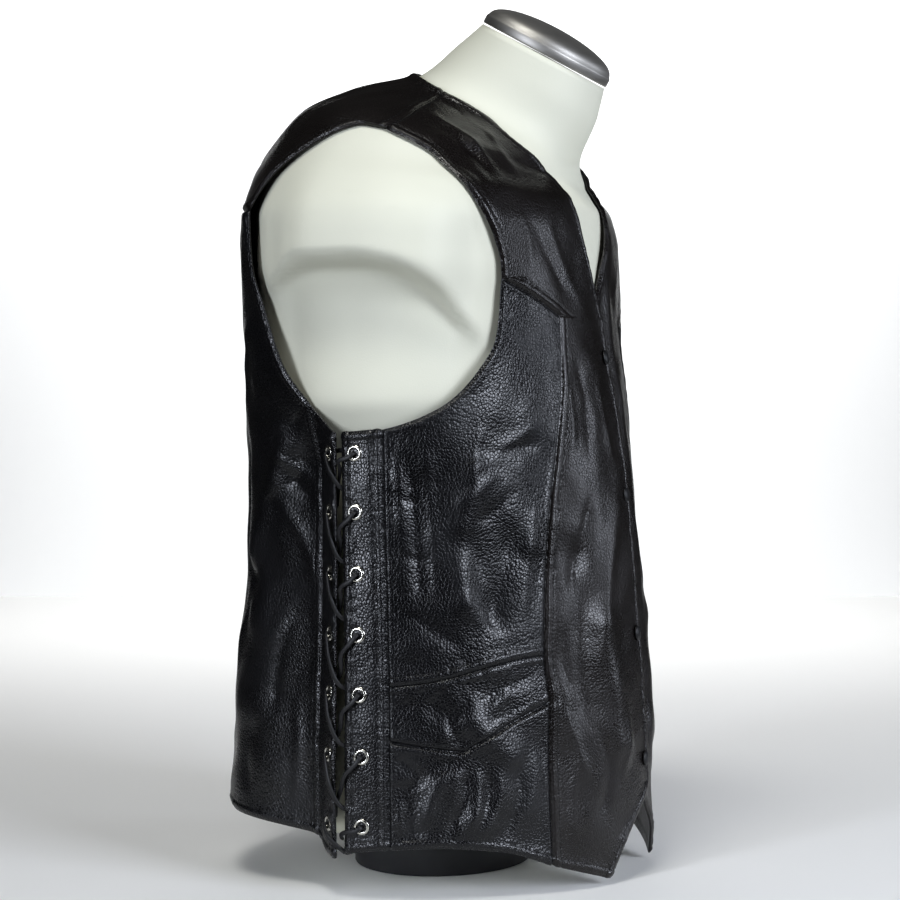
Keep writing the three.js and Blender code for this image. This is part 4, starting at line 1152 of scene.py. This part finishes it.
class VestHardware(bpy.types.PropertyGroup):
    """Eyelets, laces and snaps."""
    lace_width: bpy.props.FloatProperty(
        name="Lace width", description="Width of the flat thong", default=0.0037, min=0.001,
        max=0.006, unit="LENGTH")
    lace_thickness: bpy.props.FloatProperty(
        name="Lace thickness", description="Thickness of the flat thong", default=0.0021,
        min=0.001, max=0.004, unit="LENGTH")
    flange: bpy.props.FloatProperty(
        name="Eyelet radius", description="Outer radius of an eyelet", default=0.0065, min=0.004,
        max=0.01, unit="LENGTH")


class VestStage(bpy.types.PropertyGroup):
    """Floor and light."""
    floor_colour: bpy.props.FloatVectorProperty(
        name="Floor colour", description="Colour of the pale floor", subtype="COLOR", size=4,
        default=(0.82, 0.82, 0.81, 1), min=0, max=1)
    key_power: bpy.props.FloatProperty(
        name="Key light", description="Power of the main softbox", default=36, min=0, unit="POWER")


# ---------------------------------------------------------------- operators

class VEST_OT_form(bpy.types.Operator):
    """Makes the dress form: torso, neck cap and foot."""
    bl_idname = "vest.form"
    bl_label = "Dress form"

    def execute(self, context):
        # rings of the body's own sections, set in by form_inset and closed at both poles
        around, tall = 176, 152
        heights = np.linspace(FORM_BOTTOM + 1.2, NECK_TOP - 0.8, tall)
        angle, height = np.meshgrid(np.arange(around) * 360 / around, [FORM_BOTTOM, *heights])
        turn = from_front(angle)
        points = body_point(turn, height, 0)
        points -= body_normal(turn, height, 0) * form_inset(turn, height)[..., None]
        points[0, :, 2] = FORM_BOTTOM
        low, top = table_at(SECTIONS, [FORM_BOTTOM, NECK_TOP])
        centre = np.array([0, low[1], FORM_BOTTOM])
        points[0] = centre + (points[0] - centre) * 0.993
        points[..., 0] *= np.where(angle > 180, -1, 1)
        body = np.concatenate([points.reshape(-1, 3), [centre, [0, top[1], NECK_TOP]]])
        index = np.arange(len(body) - 2).reshape(-1, around)
        faces = outward(body, tube_faces(index, len(body) - 2, len(body) - 1))
        keep_piece(mesh_object(FORM_NAME, body, faces), "form_jersey", "form_cover", "form_torso")

        # the cap's axis leans forward as the neck's top does
        lean = math.atan(top[6])
        base = np.array([0, top[1], NECK_TOP + CAP_AIR / math.cos(lean)])
        dome = [(CAP_DOME["radius"] * math.cos(t),
                 CAP_DOME["bottom"] + CAP_DOME["rise"] * math.sin(t) ** 0.9)
                for t in np.linspace(0.12, math.pi / 2, 16)[:-1]]
        cap = lathe([*CAP_RIM, *dome, (0, CAP_DOME["top"])], base,
                    (0, -math.sin(lean), math.cos(lean)), 96)
        closed_piece("form_cap_steel", [cap], "spun_steel", "cap_metal", "form_neck_cap")

        points, faces = lathe(FOOT_PROFILE, np.zeros(3), (0, 0, 1), 96)
        foot = (points * FOOT_HALF + FOOT_MIDDLE, faces)
        closed_piece("form_foot_plastic", [foot], "moulded_abs", "foot_plastic", "form_foot")
        return {"FINISHED"}


def form_inset(turn, height):
    """Depth of the form's skin under the outside of the vest: a table by height at the front and
    the back, and at the shoulder end a swell above the step line and a recess below it."""
    back = smooth(100, 135, turn)
    plain = table_at(FORM_INSET, height)
    plain = plain[..., 0] * (1 - back) + plain[..., 1] * back
    off = np.abs(turn - SHOULDER_END["angle"]) / SHOULDER_END["half"]
    line = table_at(SHOULDER_STEP_LINE, turn)[..., 0]
    above = smooth(-20, 2, height - line)
    sides = (1 - smooth(0.45, 1, off)) * above + (1 - smooth(0.8, 1.2, off)) * (1 - above)
    within = sides * smooth(SHOULDER_END["bottom"], SHOULDER_END["bottom"] + 70, height)
    within = within * (1 - smooth(SHOULDER_END["top"] - 70, SHOULDER_END["top"], height))
    end = SHOULDER_END["recess"] * (1 - above) - SHOULDER_END["swell"] * above
    return plain * (1 - within) + end * within


class VEST_OT_fronts(bpy.types.Operator):
    """Makes the front main panels, from the shoulder seam to the pointed hem."""
    bl_idname = "vest.fronts"
    bl_label = "Front main panels"

    def execute(self, context):
        edges = ("turned", "stitched", "close", "turned")
        places = ruled(FRONT_MAIN_ROWS, GRID_STEP["front"], (8, 9, 15),
                       outer_line=keep_seam(princess, PRINCESS_SEAM[-1][0]), bend_rows=3)
        for name, side in SIDES:
            panel = Panel(f"front_main_leather_{name}", places, edges, side,
                          None if side > 0 else under_lap, 0.35, 0.9)
            place_panel(panel, f"front_main_{name}", "smooth_leather")
        return {"FINISHED"}


class VEST_OT_sides(bpy.types.Operator):
    """Makes the side front panels above and below the pocket, and the pocket welts."""
    bl_idname = "vest.sides"
    bl_label = "Side fronts and pockets"

    def execute(self, context):
        rows = [[float(princess(h0)), h0, a1, h1] for h0, a1, h1 in SIDE_UPPER_ROWS]
        upper = ruled(rows, GRID_STEP["front"], (6,),
                      outer_line=keep_seam(strip, ARMHOLE_BELOW[0][1]),
                      inner_line=lambda height, angle: princess(height))
        # the lower part is stretched to meet the pocket mouth
        down = np.linspace(0, 1, len(upper))[:, None]
        bottom = mouth(upper[-1, :, 0])
        upper[..., 1] += (bottom - upper[-1, :, 1])[None] * smooth(0.6, 1, down)
        welt = framed(princess, strip, mouth, pocket_point, GRID_STEP["pocket"])
        lower = framed(princess, strip, pocket_point, hem, GRID_STEP["pocket"])
        for name, side in SIDES:
            for piece, places, top, bottom in (("side_front_upper", upper, "seam", "turned"),
                                               ("pocket_welt", welt, "mouth", "close"),
                                               ("side_front_lower", lower, "seam", "turned")):
                edges = ("seam", "seam", top, bottom)
                panel = Panel(f"{piece}_leather_{name}", places, edges, side)
                place_panel(panel, f"{piece}_{name}", "grain_leather")
        return {"FINISHED"}


class VEST_OT_strips(bpy.types.Operator):
    """Makes the four lacing strips."""
    bl_idname = "vest.strips"
    bl_label = "Lacing strips"

    def execute(self, context):
        for name, side in SIDES:
            for edge, left, right, kinds in (
                    ("front", strip, front_lace_edge, ("stitched", "lace", "turned", "turned")),
                    ("back", back_lace_edge, back_strip, ("lace", "close", "turned", "turned"))):
                places = framed(left, right, armhole_below, hem, GRID_STEP["strip"])
                panel = Panel(f"lace_strip_leather_{edge}_{name}", places, kinds, side, None, 0.3)
                place_panel(panel, f"lace_strip_{edge}_{name}", "grain_leather")
        return {"FINISHED"}


class VEST_OT_back(bpy.types.Operator):
    """Makes the back yoke and the back panel."""
    bl_idname = "vest.back"
    bl_label = "Back"

    def execute(self, context):
        yoke = back_places(BACK_YOKE_ROWS, (1,), GRID_STEP["yoke"], seam=True)
        panel = Panel("back_yoke_leather", yoke, ("turned", "turned", "turned", "stitched"), 1,
                      None, 0.4)
        place_panel(panel, "back_yoke", "smooth_leather")
        body = back_places(BACK_PANEL_ROWS, (5,), GRID_STEP["back"],
                           side_line=keep_seam(back_strip, ARMHOLE_BELOW[-1][1]))
        panel = Panel("back_panel_leather", body, ("turned", "turned", "seam", "turned"), 1,
                      None, 0.6)
        place_panel(panel, "back_panel", "grain_leather")
        return {"FINISHED"}


class VEST_OT_stitching(bpy.types.Operator):
    """Sews the top-stitching beside the seams and along the turned edges."""
    bl_idname = "vest.stitching"
    bl_label = "Stitching"

    def execute(self, context):
        for name in ("right", "left", "back"):
            paths = [path for key, panel in PANELS.items()
                     if (key.startswith("back_") if name == "back" else key.endswith(name))
                     for path in panel.thread_paths()]
            points, faces = stitches(paths)
            piece = mesh_object(f"stitching_{name}", points, faces)
            keep_piece(piece, "polyester_thread", "grain_leather")
        return {"FINISHED"}


class VEST_OT_eyelets(bpy.types.Operator):
    """Sets the nickel eyelets in the lacing strips."""
    bl_idname = "vest.eyelets"
    bl_label = "Eyelets"

    def execute(self, context):
        flange = context.scene.vest_hardware.flange / MM
        # radius and height of the barrel, the flange and the rolled rim
        profile = rounded([(3.7, -2.4), (4.25, -2.4), (4.3, 0.15), (flange, 0.1),
                           (flange - 0.1, 0.75), (flange - 1.2, 1.35), (4.3, 1.3), (3.7, 0.8)],
                          3, 0.45)
        for name, side in SIDES:
            for edge, column in (("front", 1), ("back", 2)):
                spots, out = vest_point([row[column] for row in EYELETS],
                                        [row[0] for row in EYELETS], 0.0, side)
                closed_piece(f"eyelets_nickel_{edge}_{name}",
                             [lathe(profile, c, n, 30) for c, n in zip(spots, out)],
                             "nickel_plate", "nickel",
                             *[f"eyelet_{edge}_{name}_{i + 1}" for i in range(len(EYELETS))])
        return {"FINISHED"}


class VEST_OT_snaps(bpy.types.Operator):
    """Sets the four snaps that close the front."""
    bl_idname = "vest.snaps"
    bl_label = "Snaps"

    def execute(self, context):
        # radius and height: the stud under both fronts, the post between them and the domed cap
        under = -2 * LEATHER - LAP_AIR - 0.9
        dome = [(6.3 * math.cos(t), 0.9 + 2.1 * math.sin(t)) for t in np.linspace(0.25, 1.5, 10)]
        profile = [(0, under - 1), (4.7, under - 1), (5, under - 0.7), (5, under - 0.2),
                   (4.8, under), (2.4, under), (2.4, 0.1), (6, 0.1), (6.4, 0.3), (6.45, 0.7), *dome,
                   (0, 3)]
        spots, out = vest_point(np.zeros(len(SNAP_HEIGHTS)), SNAP_HEIGHTS, 0.0, 1)
        closed_piece("front_snaps_enamel", [lathe(profile, c, n, 40) for c, n in zip(spots, out)],
                     "baked_enamel", "snap_enamel",
                     *[f"snap_{i + 1}" for i in range(len(SNAP_HEIGHTS))])
        return {"FINISHED"}


class VEST_OT_laces(bpy.types.Operator):
    """Threads a flat thong through the eyelets of each side."""
    bl_idname = "vest.laces"
    bl_label = "Laces"

    def execute(self, context):
        sizes = context.scene.vest_hardware
        for name, side in SIDES:
            lace = thong(*lace_route(side), sizes.lace_width / MM, sizes.lace_thickness / MM)
            closed_piece(f"side_lace_thong_{name}", [lace], "lace_thong", "lace_leather",
                         f"side_lace_{name}")
        return {"FINISHED"}


def stage_quad(name, corners, turned, finish):
    """A flat part of the stage: four corners turned from the view's frame to the part's."""
    quad = mesh_object(name, np.array(corners) @ turned, [np.array([[0, 1, 2, 3]])], False)
    quad.data.materials.append(finish)


def softbox(name, place, target, size, power, colour):
    """A square area light at a place, turned to a target; sizes in metres, power in watts."""
    lamp = bpy.data.lights.new(name, "AREA")
    lamp.shape = "RECTANGLE"
    lamp.size, lamp.size_y = size
    lamp.energy = power
    lamp.color = colour
    made = bpy.data.objects.new(name, lamp)
    made.location = place
    made.rotation_euler = (Vector(target) - Vector(place)).to_track_quat("-Z", "Y").to_euler()
    bpy.context.scene.collection.objects.link(made)


class VEST_OT_stage(bpy.types.Operator):
    """Makes the floor, the studio light and the camera."""
    bl_idname = "vest.stage"
    bl_label = "Stage"

    def execute(self, context):
        scene = context.scene
        settings = scene.vest_stage
        turn = math.radians(CAMERA["turn"])
        c, s = math.cos(turn), math.sin(turn)
        turned = np.array([[c, s, 0], [-s, c, 0], [0, 0, 1]])
        # a matt, slightly cloudy painted floor
        paint = grainy_material("pale_floor", tuple(settings.floor_colour), (3.0, 3.0),
                                gloss={"To Min": 0.75, "To Max": 0.9})
        stage_quad("stage_floor", FLOOR, turned, paint)

        world = bpy.data.worlds.new("pale_studio")
        world.use_nodes = True
        scene.world = world
        back = world.node_tree.nodes["Background"]
        back.inputs["Color"].default_value = linear("#f4f4f2")
        back.inputs["Strength"].default_value = 0.03

        key = settings.key_power
        for name, (place, target, size, share, colour) in LIGHTS.items():
            softbox(name, place, target, size, key * share, colour)
        stage_quad("stage_screen", SCREEN, turned, paint)
        (far, high), (target, low) = SCREEN_LIGHT["place"], SCREEN_LIGHT["target"]
        softbox("screen", (far * c, far * s, high), (target * c, target * s, low),
                SCREEN_LIGHT["size"], key * SCREEN_LIGHT["power"], WHITE)

        lens = bpy.data.cameras.new("photo_view")
        lens.sensor_width = CAMERA["sensor"]
        lens.lens = CAMERA["lens"]
        lens.clip_start, lens.clip_end = 0.05, 50
        camera = bpy.data.objects.new("photo_view", lens)
        camera.location = (-CAMERA["distance"] * c, -CAMERA["distance"] * s, CAMERA["height"])
        camera.rotation_euler = Vector((c, s, 0)).to_track_quat("-Z", "Y").to_euler()
        scene.collection.objects.link(camera)
        scene.camera = camera
        scene.view_settings.view_transform = "Standard"
        scene.view_settings.look = "Medium High Contrast"
        return {"FINISHED"}


OPERATORS = (
    VEST_OT_form, VEST_OT_fronts, VEST_OT_sides, VEST_OT_strips, VEST_OT_back, VEST_OT_stitching,
    VEST_OT_eyelets, VEST_OT_snaps, VEST_OT_laces, VEST_OT_stage,
)
SETTINGS = {"vest_leather": VestLeather, "vest_hardware": VestHardware, "vest_stage": VestStage}


class VEST_PT_panel(bpy.types.Panel):
    """Lists the settings and the pieces of the vest."""
    bl_label = "Leather vest"
    bl_idname = "VEST_PT_panel"
    bl_space_type = "VIEW_3D"
    bl_region_type = "UI"
    bl_category = "Vest"

    def draw(self, context):
        """One box of values for each group of settings, and a button for each operator."""
        for name, kind in SETTINGS.items():
            box = self.layout.box()
            for key in kind.__annotations__:
                box.prop(getattr(context.scene, name), key)
        for operator in OPERATORS:
            self.layout.operator(operator.bl_idname)


def register():
    """Registers the classes and gives the scene its groups of settings."""
    for kind in (*SETTINGS.values(), *OPERATORS, VEST_PT_panel):
        bpy.utils.register_class(kind)
    for name, kind in SETTINGS.items():
        setattr(bpy.types.Scene, name, bpy.props.PointerProperty(type=kind))


def unregister():
    """Undoes register."""
    for name in SETTINGS:
        delattr(bpy.types.Scene, name)
    for kind in reversed((*SETTINGS.values(), *OPERATORS, VEST_PT_panel)):
        bpy.utils.unregister_class(kind)


def main():
    """Builds every piece through the operators."""
    register()
    for operator in OPERATORS:
        space, name = operator.bl_idname.split(".")
        getattr(getattr(bpy.ops, space), name)()


if __name__ == "__main__":
    main()
